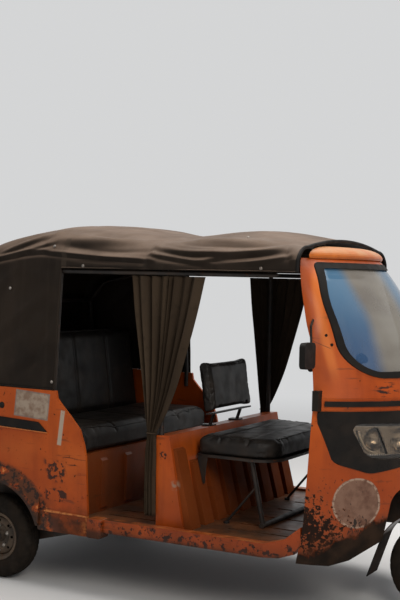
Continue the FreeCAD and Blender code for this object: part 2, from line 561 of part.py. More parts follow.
# Seat box, luggage deck and wheel liners inside the tub
INNER_Y = BODY_HALF_WIDTH - SHEET - SEAM
SEAT_BOX_PROFILE = [
    (SEAT_WALL_X + 14, RAIL_TOP_Z + SEAM), (SEAT_WALL_X + 14, SEAT_TOP_Z), (40, SEAT_TOP_Z), (28, 700), (-368, 700),
    (-368, 686), (16, 686), (28, SEAT_TOP_Z - 14), (SEAT_WALL_X, SEAT_TOP_Z - 14), (SEAT_WALL_X, RAIL_TOP_Z + SEAM),
]
seat_box = prism_y(SEAT_BOX_PROFILE, -INNER_Y, INNER_Y)
for y in (-430.0, -215.0, 0.0, 215.0, 430.0):
    seat_box = seat_box.fuse(prism_y([(SEAT_WALL_X + 10, 360), (SEAT_WALL_X + 26, 372), (SEAT_WALL_X + 26, 596),
                                      (SEAT_WALL_X + 10, 610)], y - 26, y + 26))
seat_box = seat_box.common(tub(SHEET + SEAM))
nodes["seat_box"] = seat_box.removeSplitter()
LINER_IN = REAR_TRACK / 2 - 63.0
liner = rod(V(0, LINER_IN, ARCH_Z), V(0, INNER_Y, ARCH_Z), ARCH_RADIUS + 10)
liner = liner.cut(rod(V(0, LINER_IN + 7, ARCH_Z), V(0, INNER_Y + 20, ARCH_Z), ARCH_RADIUS + 3))
liner = liner.cut(box(-400, 400, 400, 800, -200, PANEL_BOTTOM_Z))
liner = liner.cut(rod(V(0, 400, ARCH_Z), V(0, 800, ARCH_Z), 110)).cut(box(0, 400, 400, LINER_IN + 7.5, 0, 330))
liner = liner.common(box(TAIL_SPLIT_X, 400, 400, 800, 0, 900))
nodes["wheel_liners"] = both(liner)

# Slanted box between the cabins with pressed ribs on the driver's side
PARTITION_HALF = BODY_HALF_WIDTH - 84.0
PARTITION_PROFILE = [(866, FLOOR_Z + SEAM), (860, 762), (928, 766), (1006, FLOOR_Z + SEAM)]
partition = prism_y(PARTITION_PROFILE, -PARTITION_HALF, PARTITION_HALF)
hollow = prism_y([(880, FLOOR_Z - 10), (874, 748), (916, 751), (991, FLOOR_Z - 10)],
                 -PARTITION_HALF + 12, PARTITION_HALF - 12)
partition = partition.cut(hollow)
RIB_PITCH = 128.0
SEAT_PLATE_LOW = 654.0
TALL_RIB = [(1042, 372), (958, 698), (925, 714)]
SHORT_RIB = [(1042, 372), (972, SEAT_PLATE_LOW - 20), (930, SEAT_PLATE_LOW - 8)]
for k in range(9):
    y = (k - 4) * RIB_PITCH
    if abs(y) + 44 > PARTITION_HALF:
        continue
    slope = SHORT_RIB if abs(y) < 450 else TALL_RIB
    rib = prism_y([(992, FLOOR_Z + SEAM), (1046, FLOOR_Z + SEAM)] + slope, y - 42, y + 42)
    partition = partition.fuse(rib)
nodes["partition"] = partition.removeSplitter()

# Driver's and passengers' seats
def cushion(x0, x1, half_width, z0, z1, radius):
    wire = rounded_wire([(x0, z0, radius * 0.5), (x1, z0, radius * 0.5), (x1, z1, radius), (x0, z1, radius)],
                        lambda a, b: V(a, -half_width, b))
    return Part.Face(wire).extrude(V(0, 2 * half_width, 0))


SEAT_REAR_X = 954.0
SEAT_FRONT_X = 1372.0
SEAT_HALF = BODY_HALF_WIDTH - 256.0
SEAT_PLATE_TOP = SEAT_PLATE_LOW + 11.6


def seat_plan(inset, z0, z1):
    """Plan of the driver's seat: the front corners are round."""
    x0, x1, w = SEAT_REAR_X + inset * 0.2, SEAT_FRONT_X - inset, SEAT_HALF - inset
    wire = rounded_wire([(x0, -w, 34), (x1, -w, 120), (x1, w, 120), (x0, w, 34)], lambda a, b: V(a, b, z0))
    return Part.Face(wire).extrude(V(0, 0, z1 - z0))


DRIVER_SEAT_TOP = 746.0
seat_pad = seat_plan(0, SEAT_PLATE_TOP + SEAM, DRIVER_SEAT_TOP)
rim = [edge for edge in seat_pad.Edges if edge.BoundBox.ZMin > DRIVER_SEAT_TOP - 1]
nodes["driver_seat"] = seat_pad.makeFillet(24, rim)


def leaned(shape):
    shape.rotate(V(0, 0, 0), V(0, 1, 0), -10)
    shape.translate(V(905, 0, 828))
    return shape


nodes["driver_backrest"] = leaned(cushion(0, 52, 215, 0, 250, 22))
nodes["passenger_seat"] = cushion(46, 498, BODY_HALF_WIDTH - 50, SEAT_TOP_Z + SEAM, 752, 38)
rear_rest = cushion(0, 84, BODY_HALF_WIDTH - 54, 0, 494, 34)
rear_rest.rotate(V(0, 0, 0), V(0, 1, 0), -8)
rear_rest.translate(V(-42, 0, 702))
nodes["passenger_backrest"] = rear_rest
SEAT_LEG_Y = 332.0
SEAT_LEG_X = 1290.0
SEAT_LEG_TOP_X = 1226.0
seat_frame = seat_plan(12, SEAT_PLATE_LOW, SEAT_PLATE_TOP)
seat_frame = seat_frame.fuse(rod(V(SEAT_LEG_TOP_X, -360, SEAT_PLATE_LOW), V(SEAT_LEG_TOP_X, 360, SEAT_PLATE_LOW), 9))
FOOT_BAR_Z = FLOOR_Z + SEAM + 12.5
for y in (-SEAT_LEG_Y, SEAT_LEG_Y):
    seat_frame = seat_frame.fuse(rod(V(SEAT_LEG_TOP_X, y, SEAT_PLATE_LOW), V(SEAT_LEG_X, y, FOOT_BAR_Z), 11))
seat_frame = seat_frame.fuse(rod(V(SEAT_LEG_X, -SEAT_LEG_Y - 16, FOOT_BAR_Z), V(SEAT_LEG_X, SEAT_LEG_Y + 16, FOOT_BAR_Z),
                                 12.5))
for y in (-SEAT_LEG_Y, SEAT_LEG_Y):
    seat_frame = seat_frame.fuse(rod(V(1106, y, FLOOR_Z + 8), V(1256, y, 540), 6))
    seat_frame = seat_frame.fuse(rod(V(1104, y, FLOOR_Z + SEAM), V(1104, y, FLOOR_Z + 10), 14))
# Side brackets under the seat's rear corners
BRACKET = [(976, SEAT_PLATE_LOW + 4), (1024, SEAT_PLATE_LOW + 4), (1016, 604), (1011, 532), (1003, 532),
           (974.5, SEAT_PLATE_LOW - 16)]
for y in (-382.0, 376.0):
    seat_frame = seat_frame.fuse(prism_y(BRACKET, y, y + 6))
# The backrest stands on two posts on the slanted box.
back_frame = leaned(box(0, 52, -190, 190, -8, -SEAM))
for y in (-140.0, 140.0):
    back_frame = back_frame.fuse(rod(V(904, y, 770), V(922, y, 822), 8))
    back_frame = back_frame.fuse(prism_y([(868, 762.6 + SEAM), (924, 765.9 + SEAM), (924, 772), (868, 772)],
                                         y - 24, y + 24))
seat_frame = Part.makeCompound([seat_frame.removeSplitter(), back_frame.removeSplitter()])
nodes["driver_seat_frame"] = seat_frame

# Cowl: lower apron with the wheel arch, windscreen frame above the belt
APRON_JAMB = ahead([(-685, 200), (-425, 200), (-419, 286), (-393, 438), (-380, 650), (-363, BELT_Z + 5),
                    (-685, BELT_Z + 5)])
FRAME_JAMB = ahead([(-685, 980), (-363, 980), (-382, 1207), (-411, 1292), (-485, 1575), (-487, 1600), (-685, 1600)])
APRON_BOTTOM = ahead([(-485, 200), (-485, 288), (-295, 279), (-225, 302), (-115, 382), (115, 420), (115, 200)])
apron = cowl_layer(LOWER_COWL, 0, SHEET)
apron = apron.cut(prism_y(APRON_JAMB, -800, 800))
apron = apron.cut(prism_y(APRON_BOTTOM, -800, 800))
WHEEL_ARCH = [(-392, 200, 1), (-328, 600, 84), (328, 600, 84), (392, 200, 1)]
apron = apron.cut(rounded_prism_x(WHEEL_ARCH, WHEELBASE - 335, WHEELBASE + 215))
# The lamp housing sinks into its own opening in the apron.
MASK_TOP = COWL_HALF - 32.0
MASK_SIDE = COWL_HALF - 73.0
MASK = [
    (-MASK_TOP, 930, 16), (MASK_TOP, 930, 16), (MASK_SIDE, 712, 44), (428, 668, 50), (300, 690, 50),
    (-300, 690, 50), (-428, 668, 50), (-MASK_SIDE, 712, 44),
]


def mask_prism(shrink):
    corners = []
    for y, z, radius in MASK:
        side = 1.0 if y > 0 else -1.0
        up = 1.0 if z > 800 else -1.0
        corners.append((y - side * shrink, z - up * shrink, radius))
    return rounded_prism_x(corners, WHEELBASE - 360, WHEELBASE + 115)


apron_opening = mask_prism(14)
nodes["front_apron"] = apron.cut(apron_opening).cut(box(0, 3000, -900, 900, BELT_Z - SEAM / 2, 1100)).removeSplitter()
screen_frame = cowl_layer(UPPER_COWL, 0, SHEET)
screen_frame = screen_frame.cut(prism_y(FRAME_JAMB, -800, 800)).cut(window_prism(0))
# Two bare bracket holes in the right-hand pillar
for x, y, z in ahead([(-334.0, -516.0, 1246.0), (-310.0, -509.0, 1207.0)]):
    screen_frame = screen_frame.cut(rod(V(x - 14, y + 50, z), V(x + 14, y - 50, z), 6))
nodes["windscreen_frame"] = screen_frame.cut(box(0, 3000, -900, 900, 900, BELT_Z + SEAM / 2)).removeSplitter()
GLASS_IN = 5.0
GLASS_THICKNESS = 5.0
SEAL_WIDTH = 26.0
seal = cowl_layer(UPPER_COWL, -5, SHEET - 1).common(window_prism(SEAM)).cut(window_prism(SEAL_WIDTH))
nodes["windscreen_seal"] = seal.removeSplitter()
glass = cowl_layer(UPPER_COWL, GLASS_IN, GLASS_IN + GLASS_THICKNESS).common(window_prism(SEAL_WIDTH + SEAM))
nodes["windscreen_glass"] = glass

# Headlamp housing with two twin lamps
LENS = [(205, 860, 20), (482, 869, 16), (426, 742, 46), (205, 735, 20)]


def lens_prism(grow, side):
    corners = []
    for y, z, radius in LENS:
        out = 1.0 if y > 300 else -1.0
        up = 1.0 if z > 800 else -1.0
        corners.append((side * (y + out * grow), z + up * grow, radius + max(grow, 0)))
    if side < 0:
        corners = corners[::-1]
    return rounded_prism_x(corners, WHEELBASE - 360, WHEELBASE + 115)


MASK_PROUD = 6.0
LENS_IN = 12.0
BOWL_FRONT = 26.0
BOWL_BACK = 84.0
mask = cowl_layer(LOWER_COWL, -MASK_PROUD, -SEAM).common(mask_prism(0))
mask = mask.fuse(cowl_layer(LOWER_COWL, -MASK_PROUD, 30).common(mask_prism(15)))
mask = mask.cut(box(0, WHEELBASE - 345, -900, 900, 0, 2000))
lenses = []
bowls = []
# Lamp bowls on each side: place across, height, radius, depth of the hollow behind the front edge
BOWLS = [(272.0, 799.0, 54.0, 42.0), (390.0, 808.0, 47.0, 36.0)]
for side in (1, -1):
    mask = mask.cut(lens_prism(0, side))
    mask = mask.cut(cowl_layer(LOWER_COWL, -20, LENS_IN).common(lens_prism(12, side)))
    lenses.append(cowl_layer(LOWER_COWL, LENS_IN - 6, LENS_IN - SEAM).common(lens_prism(11.6, side)))
    block = cowl_layer(LOWER_COWL, BOWL_FRONT, BOWL_BACK).common(lens_prism(-3, side))
    for y, z, radius, depth in BOWLS:
        lamp_x = LOWER_COWL[1][3] - LOWER_COWL[1][4] + math.sqrt((LOWER_COWL[1][4] - BOWL_FRONT) ** 2 - y ** 2)
        ball = (radius ** 2 + depth ** 2) / (2 * depth)
        centre = V(lamp_x + ball - depth, side * y, z)
        block = block.cut(Part.makeSphere(ball, centre))
        bulb_end = V(lamp_x - 6, side * y, z)
        bulb = rod(V(lamp_x - depth - 4, side * y, z), bulb_end, 8).fuse(Part.makeSphere(8, bulb_end))
        block = block.fuse(bulb)
    bowls.append(block.removeSplitter())
nodes["headlamp_housing"] = mask.removeSplitter()
nodes["headlamp_lenses"] = Part.makeCompound(lenses)
nodes["headlamp_bowls"] = Part.makeCompound(bowls)

# Belt trim over the seam, and the black blocks on the door posts
belt = cowl_layer(LOWER_COWL, -8, -SEAM).common(box(WHEELBASE - 318, WHEELBASE + 115, -900, 900, 950, 972))
post_block = box(WHEELBASE - 360, WHEELBASE - 332, COWL_HALF - 60, COWL_HALF - 14, 932, 1016)
post_block = post_block.cut(cowl_solid(LOWER_COWL, -SEAM, 2.0)).cut(cowl_solid(UPPER_COWL, -SEAM, 2.0))
nodes["belt_trim"] = Part.makeCompound([belt, post_block, mirrored(post_block)])

# Visor above the windscreen
VISOR = [(1572.4, COWL_HALF - 95, 100.0, WHEELBASE - 335, COWL_HALF + 200)]
VISOR_LIP = (1581.0, COWL_HALF - 92, 100.0, WHEELBASE - 331, COWL_HALF + 200)
VISOR_RISE = (50.0, -110.0, 43.0, -138.0, 87.0)
VISOR_STEPS = 8
VISOR_SWEEP_DEG = 72.0
for k in range(VISOR_STEPS + 1):
    angle = math.radians(VISOR_SWEEP_DEG * k / VISOR_STEPS)
    shares = (math.sin(angle),) + (1 - math.cos(angle),) * 4
    VISOR.append(tuple(low + rise * share for low, rise, share in zip(VISOR_LIP, VISOR_RISE, shares)))
visor = Part.makeLoft([cowl_section(row, 0, 0.0, COWL_BACK_X + 30) for row in VISOR], True, True)
visor = visor.cut(box(COWL_BACK_X - 100, CANOPY_FRONT_X + SEAM, -800, 800, 1500, 1800))
nodes["roof_visor"] = visor.removeSplitter()

# Inner panels of the nose: wheelhouse and dashboard
HOUSE_HALF = 352.0
HOUSE_PROFILE = ahead([(-373, 300), (-373, 640), (-345, 668), (-10, 668), (-10, 662), (-341, 662), (-367, 636),
                       (-367, 300)])
HOUSE_CHEEK = ahead([(-373, 300), (-373, 640), (-345, 668), (-10, 668), (-10, 400), (-115, 384), (-225, 305)])
house = prism_y(HOUSE_PROFILE, -HOUSE_HALF, HOUSE_HALF)
for y in (-HOUSE_HALF, HOUSE_HALF - 6):
    house = house.fuse(prism_y(HOUSE_CHEEK, y, y + 6))
house = house.common(cowl_solid(LOWER_COWL, SHEET + SEAM))
house = house.cut(box(WHEELBASE - 425, WHEELBASE - 245, -46, 46, 280, 700))
house = house.cut(rod(on_axis(HEAD_LOW - 60), on_axis(HEAD_HIGH + 60), 44))
nodes["front_wheelhouse"] = house.removeSplitter()
DASH_X = WHEELBASE - 285.0
dash = cowl_solid(UPPER_COWL, SHEET + SEAM, 2.0).common(box(DASH_X, WHEELBASE, -520, 520, 990, 1046))
dash = dash.fuse(box(DASH_X, DASH_X + 70, -380, 380, 940, 1000))
nodes["dashboard"] = dash.removeSplitter()

# Canopy of coated cloth over the hoops, open at the doors and with a rear window
canopy = canopy_solid(0, CANOPY_BOTTOM_Z)
inner = canopy_solid(CANOPY_THICKNESS, CANOPY_BOTTOM_Z - 20, 9.0)
canopy = canopy.cut(inner)
canopy = canopy.cut(box(QUARTER_FRONT_X, CANOPY_FRONT_X + 50, -900, 900, 800, ROOF_EDGE_Z))
REAR_WINDOW = [(-300, 1080, 40), (300, 1080, 40), (270, 1290, 40), (-270, 1290, 40)]
canopy = canopy.cut(rounded_prism_x(REAR_WINDOW, -420, -340))
nodes["canopy"] = canopy.removeSplitter()

# Hoops and rails under the canopy
TUBE = 11.0
RAIL_Z = 1494.0


# Hoops: place, foot height, and insets from the body side of the foot, the rail and the crown, crown height
HOOPS = [
    (60.0, 1492.0, 74.0, 74.0, 180.0, 1678.0),
    (330.0, 860.0, 26.0, 66.0, 170.0, 1692.0),
    (880.0, 764.4, 98.0, 98.0, 180.0, 1648.0),
    (WHEELBASE - 795, 1492.0, 84.0, 84.0, 190.0, 1670.0),
]
# Side rail from the tail forward: place, inset from the body side, height
SIDE_RAIL = inward([
    (-300.0, 26.0, 860.0),
    (-300.0, 28.0, 938.0),
    (-300.0, 80.0, 1330.0),
    (-196.0, 84.0, 1436.0),
    (60.0, 74.0, RAIL_Z),
    (330.0, 66.0, RAIL_Z),
    (880.0, 70.0, RAIL_Z),
    (WHEELBASE - 795, 84.0, RAIL_Z),
    (WHEELBASE - 545, 150.0, RAIL_Z),
    (WHEELBASE - 425, 210.0, RAIL_Z),
])
frame_wall = cowl_solid(UPPER_COWL, -3).cut(cowl_solid(UPPER_COWL, SHEET + SEAM, 2.0))
corner_half = SIDE_RAIL[2][1]
hoops = rod(V(-300, -corner_half, 1330), V(-300, corner_half, 1330), TUBE)
for x, foot_z, foot_in, rail_in, crown_in, crown_z in HOOPS:
    foot_w = BODY_HALF_WIDTH - foot_in
    rail_w = BODY_HALF_WIDTH - rail_in
    crown_w = BODY_HALF_WIDTH - crown_in
    half = [(foot_w, foot_z)]
    if foot_w > rail_w:
        half.append((foot_w, PANEL_TOP_Z + 3))
    half += [(rail_w, RAIL_Z), (crown_w, crown_z - 40), (260.0, crown_z - 8)]
    points = [V(x, -y, z) for y, z in half] + [V(x, y, z) for y, z in reversed(half)]
    hoops = hoops.fuse(tube_path(points, TUBE))
for side in (-1, 1):
    rail = tube_path([V(x, side * y, z) for x, y, z in SIDE_RAIL], TUBE)
    rail = rail.cut(frame_wall)
    rail = sorted(rail.Solids, key=lambda part: part.Volume)[-1]
    hoops = hoops.fuse(rail)
rail_half = SIDE_RAIL[6][1]
hoops = hoops.fuse(rod(V(880, -rail_half, RAIL_Z), V(880, rail_half, RAIL_Z), TUBE))
nodes["hood_frame"] = hoops.removeSplitter()

# Gathered curtains hung behind each door post
def curtain():
    # Outlines from the hem up: height, rear end, front end
    outlines = [(404.0, 815.0, 868.0), (756.0, 817.0, 872.0), (800.0, 815.0, 908.0), (1482.0, 735.0, 1095.0)]
    inner_y = PARTITION_HALF + 2
    outer_y = PARTITION_HALF + 26
    wires = []
    for z, rear, front in outlines:
        wires.append(rounded_wire([(rear, inner_y, 8), (front, inner_y, 8), (front, outer_y, 8), (rear, outer_y, 8)],
                                  lambda a, b: V(a, b, z)))
    return Part.makeLoft(wires, True, True)


nodes["curtains"] = both(curtain())

# Rear fittings
BUMPER_LOW_Z = 300.0
BUMPER_HIGH_Z = 342.0
PLATE_HOLE_RADIUS = 3.5
PLATE_HOLE_SPACING = 200.0
BUMPER_HALF = BODY_HALF_WIDTH - 110.0
bumper = rounded_prism_x([(-BUMPER_HALF, BUMPER_LOW_Z, 10), (BUMPER_HALF, BUMPER_LOW_Z, 10),
                          (BUMPER_HALF, BUMPER_HIGH_Z, 10), (-BUMPER_HALF, BUMPER_HIGH_Z, 10)], -REAR_OVERHANG, TAIL_X - 14)
for y in (-380.0, 380.0):
    bumper = bumper.fuse(box(TAIL_X - 15, TAIL_X - SEAM, y - 20, y + 20, BUMPER_LOW_Z + 4, BUMPER_HIGH_Z - 4))
for y in (-PLATE_HOLE_SPACING / 2, PLATE_HOLE_SPACING / 2):
    bumper = bumper.cut(rod(V(-500, y, 321), V(-300, y, 321), PLATE_HOLE_RADIUS))
nodes["rear_bumper"] = bumper.removeSplitter()
nodes["tail_lamps"] = both(rounded_prism_x([(440, 660, 12), (520, 660, 12), (520, 800, 12), (440, 800, 12)],
                                           TAIL_X - 15, TAIL_X - SEAM))

# Mirrors on bent arms
MIRROR_Y = COWL_HALF + 58.0
MIRROR_Z = 1166.0


def mirror_outline(half_width, half_height, radius):
    low = MIRROR_Z - half_height
    high = MIRROR_Z + half_height
    return [(MIRROR_Y - half_width, low, radius), (MIRROR_Y + half_width, low, radius),
            (MIRROR_Y + half_width, high, radius), (MIRROR_Y - half_width, high, radius)]


def mirror_set():
    arm = tube_path([V(WHEELBASE - 390, COWL_HALF - 78, 1312), V(WHEELBASE - 366, COWL_HALF + 2, 1286),
                     V(WHEELBASE - 351, MIRROR_Y - 30, 1208)], 5)
    arm = arm.cut(cowl_solid(UPPER_COWL, -SEAM, 2.0))
    arm = sorted(arm.Solids, key=lambda part: part.Volume)[-1]
    head = rounded_prism_x(mirror_outline(54, 54, 22), WHEELBASE - 367, WHEELBASE - 341)
    return arm.fuse(head).removeSplitter()


nodes["mirrors"] = both(mirror_set())
glass_plate = rounded_prism_x(mirror_outline(46, 46, 17), WHEELBASE - 369.4, WHEELBASE - 367.4)
nodes["mirror_glasses"] = both(glass_plate)

os.makedirs("parts", exist_ok=True)
for name, shape in nodes.items():
    placed = shape.copy()
    placed.translate(V(MIDDLE_SHIFT, 0, 0))
    placed.exportStep("parts/" + name + ".step")
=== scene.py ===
import math
import bmesh
import bpy
import numpy as np
from mathutils import Matrix, Vector, noise


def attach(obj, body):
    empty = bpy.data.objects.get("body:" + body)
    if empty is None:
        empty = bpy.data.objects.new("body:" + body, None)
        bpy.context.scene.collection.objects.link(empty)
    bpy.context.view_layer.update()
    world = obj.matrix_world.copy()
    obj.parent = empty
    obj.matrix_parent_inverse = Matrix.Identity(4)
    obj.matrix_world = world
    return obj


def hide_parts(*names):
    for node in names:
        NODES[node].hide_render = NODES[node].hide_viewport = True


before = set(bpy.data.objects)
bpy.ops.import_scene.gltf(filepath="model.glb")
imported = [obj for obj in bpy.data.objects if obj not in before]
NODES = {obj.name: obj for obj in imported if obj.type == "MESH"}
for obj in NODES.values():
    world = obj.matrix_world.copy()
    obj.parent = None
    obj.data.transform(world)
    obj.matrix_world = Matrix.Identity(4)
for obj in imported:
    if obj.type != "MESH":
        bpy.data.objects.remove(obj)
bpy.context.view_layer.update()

# Metres. X points forward, Y to the vehicle's left, Z up. The tables give places forward
# of the rear axle line; REAR_AXLE is where that line lies in the row frame.
REAR_AXLE = -0.9175
WHEELBASE = 1.985
WHEEL_Z = 0.203
REAR_WHEEL_Y = 0.575
BODY_SIDE = 0.650


def at(x, y, z):
    return (x + REAR_AXLE, y, z)


# Camera of the photograph: turns in radians, place in metres, lens and sensor in millimetres
YAW = 0.50806882
PITCH = -0.0215476
ROLL = 0.0212371
CAMERA_PLACE = (2.57491, -4.91592, 1.48577)
LENS = 67.8009
SENSOR_WIDTH = 36.0


def placed(name, data):
    """A new object in the scene."""
    made = bpy.data.objects.new(name, data)
    bpy.context.scene.collection.objects.link(made)
    return made


def make_camera():
    data = bpy.data.cameras.new("photo_camera")
    data.sensor_fit = "AUTO"
    data.sensor_width = SENSOR_WIDTH
    data.lens = LENS
    camera = placed("photo_camera", data)
    look = Vector((-math.sin(YAW) * math.cos(PITCH), math.cos(YAW) * math.cos(PITCH), math.sin(PITCH)))
    level = Vector((math.cos(YAW), math.sin(YAW), 0))
    upright = level.cross(look)
    right = level * math.cos(ROLL) + upright * math.sin(ROLL)
    up = upright * math.cos(ROLL) - level * math.sin(ROLL)
    turn = Matrix((right, up, -look)).transposed().to_4x4()
    camera.matrix_world = Matrix.Translation(CAMERA_PLACE) @ turn
    bpy.context.scene.camera = camera


# Node materials
def plug(tree, socket, value):
    """Link a field to a socket, or set a plain number, place or colour on it."""
    if isinstance(value, Field):
        tree.links.new(value.socket, socket)
    elif socket.type == "RGBA":
        socket.default_value = tuple(value) + (1.0,)
    else:
        socket.default_value = value


def worked(tree, kind, inputs, output=0, **settings):
    """What a new node with these inputs and settings works out."""
    node = tree.nodes.new("ShaderNode" + kind)
    for name, value in settings.items():
        setattr(node, name, value)
    for key, value in inputs.items():
        plug(tree, node.inputs[key], value)
    return Field(tree, node.outputs[output])


def apart(tree, vector):
    """The three parts of a vector field."""
    node = tree.nodes.new("ShaderNodeSeparateXYZ")
    plug(tree, node.inputs[0], vector)
    return [Field(tree, part) for part in node.outputs]


class Field:
    """A number, place or colour that a node tree works out at each point of a surface."""

    def __init__(self, tree, socket):
        self.tree = tree
        self.socket = socket

    def math(self, kind, *others):
        return worked(self.tree, "Math", dict(enumerate((self,) + others)), operation=kind)

    def __add__(self, other):
        return self.math("ADD", other)

    def __sub__(self, other):
        return self.math("SUBTRACT", other)

    def __mul__(self, other):
        return self.math("MULTIPLY", other)

    def most(self, other):
        return self.math("MAXIMUM", other)

    def size(self):
        return self.math("ABSOLUTE")

    def power(self, other):
        return self.math("POWER", other)

    def step(self, low, high):
        """0 at low, 1 at high and beyond; low may be the larger number."""
        ends = {"Value": self, "From Min": low, "From Max": high}
        return worked(self.tree, "MapRange", ends, "Result", interpolation_type="SMOOTHSTEP")


class Surface:
    """A node material while it is put together."""

    def __init__(self, name, **constant):
        self.material = bpy.data.materials.new(name)
        self.material.use_nodes = True
        self.tree = self.material.node_tree
        self.shader = self.tree.nodes["Principled BSDF"]
        for socket, value in constant.items():
            self.shader.inputs[socket.replace("_", " ")].default_value = value
        self.here = worked(self.tree, "TexCoord", {}, "Object")
        x, self.y, self.z = apart(self.tree, self.here)
        self.x = x - REAR_AXLE
        _, across, self.up = apart(self.tree, worked(self.tree, "NewGeometry", {}, "Normal"))
        self.sideways = across.size()

    def scaled(self, stretch, shift):
        places = {0: self.here, 1: stretch, 2: (shift, shift * 0.7, shift * 1.3)}
        return worked(self.tree, "VectorMath", places, operation="MULTIPLY_ADD")

    def noise(self, scale, detail=2.0, stretch=(1, 1, 1), shift=0.0, rough=0.5):
        inputs = {"Vector": self.scaled(stretch, shift), "Scale": scale, "Detail": detail, "Roughness": rough}
        return worked(self.tree, "TexNoise", inputs)

    def spots(self, low, high, *scale, **shape):
        """Noise that is 0 below one level and 1 beyond the other."""
        return self.noise(*scale, **shape).step(low, high)

    def cells(self, scale):
        return worked(self.tree, "TexVoronoi", {"Vector": self.here, "Scale": scale}, "Distance")

    def waves(self, scale, direction):
        inputs = {"Vector": self.here, "Scale": scale}
        return worked(self.tree, "TexWave", inputs, "Fac", bands_direction=direction)

    def distance(self, place):
        places = {0: self.here, 1: at(*place)}
        return worked(self.tree, "VectorMath", places, "Value", operation="DISTANCE")

    def mix(self, share, low, high):
        return worked(self.tree, "Mix", {0: share, 6: low, 7: high}, 2, data_type="RGBA")

    def patch(self, mask, colour, share=1.0):
        """Lay a colour over the base colour where the mask is."""
        self.base = self.mix(mask * share, self.base, colour)

    def set(self, socket, value):
        plug(self.tree, self.shader.inputs[socket], value)

    def bump(self, height, distance, strength=1.0):
        inputs = {"Height": height, "Distance": distance, "Strength": strength}
        normal = self.shader.inputs["Normal"]
        if normal.links:
            inputs["Normal"] = Field(self.tree, normal.links[0].from_socket)
        self.set("Normal", worked(self.tree, "Bump", inputs))

    def finished(self, rough, *bumps):
        """The material with its base colour, roughness and bumps of (height, distance, strength)."""
        self.set("Base Color", self.base)
        self.set("Roughness", rough)
        for bump in bumps:
            self.bump(*bump)
        return self.material


ORANGE_LIT = (0.46, 0.082, 0.008)
ORANGE_DULL = (0.34, 0.053, 0.006)
ORANGE_DEEP = (0.19, 0.028, 0.004)
DUST = (0.42, 0.20, 0.095)
ROAD_DIRT = (0.046, 0.023, 0.012)
BARE_DARK = (0.010, 0.0075, 0.006)
RUST = (0.080, 0.024, 0.009)
CHIP_EDGE = 0.03


def weathered(name, lit=ORANGE_LIT, dull=ORANGE_DULL, deep=ORANGE_DEEP,
              dirt_top=0.60, chips=0.675, dust=0.25):
    """Old paint: faded patches, water streaks, dust on top, road dirt below, small chips."""
    s = Surface(name)
    s.base = s.mix(s.spots(0.35, 0.68, 1.9, 4), lit, dull)
    s.patch(s.spots(0.42, 0.75, 13, 5, shift=3.0), deep, 0.30)
    streaks = s.spots(0.50, 0.72, 24, 3, stretch=(1, 1, 0.08))
    s.patch(streaks * s.up.step(0.8, 0.3), deep, 0.30)
    s.patch(s.up.step(0.45, 0.98) * s.spots(0.2, 0.8, 6, 4), DUST, dust)
    s.patch(s.spots(0.64, 0.72, 36, 4, stretch=(0.16, 0.16, 1), shift=5.0), ROAD_DIRT, 0.45)
    low = s.z.step(dirt_top, 0.26) * s.spots(0.30, 0.62, 8, 5)
    s.patch(low, ROAD_DIRT, 0.72)
    flakes = s.noise(62, 6, rough=0.62, shift=9.0)
    chip = flakes.step(chips, chips + 0.012)
    s.patch(flakes.step(chips - CHIP_EDGE, chips), RUST, 0.5)
    s.patch(chip, BARE_DARK)
    s.worn = chip.most(low * 0.6)
    s.bump(chip * -1.0, 0.0004)
    s.bump(s.noise(5, 2, shift=2.0), 0.004, 0.35)
    return s


def finish_paint(s):
    """Worn places are duller."""
    s.set("Specular IOR Level", s.worn.step(0.0, 1.0) * -0.15 + 0.20)
    return s.finished(s.worn.step(0.0, 1.0) * 0.38 + s.spots(0.3, 0.8, 20, 3) * 0.16 + 0.30)


def slanted_box(s, middle, half, lean, fall, soft=0.002):
    """Mask of a slanted rectangle on the side: lean is its sides' slope, fall its top's."""
    across = s.x - middle[0] - (s.z - middle[1]) * lean
    upward = s.z - middle[1] + (s.x - middle[0]) * fall
    near = [off.size().step(reach + soft, reach - soft) for off, reach in zip((across, upward), half)]
    return near[0] * near[1]


def near_side(s):
    return s.y.step(-0.55, -0.60)


# Middle of the bare sticker on the near side panel, along and up; place of the canopy's seam
STICKER = (0.221, 0.860)
SHEET_SEAM_X = 0.357


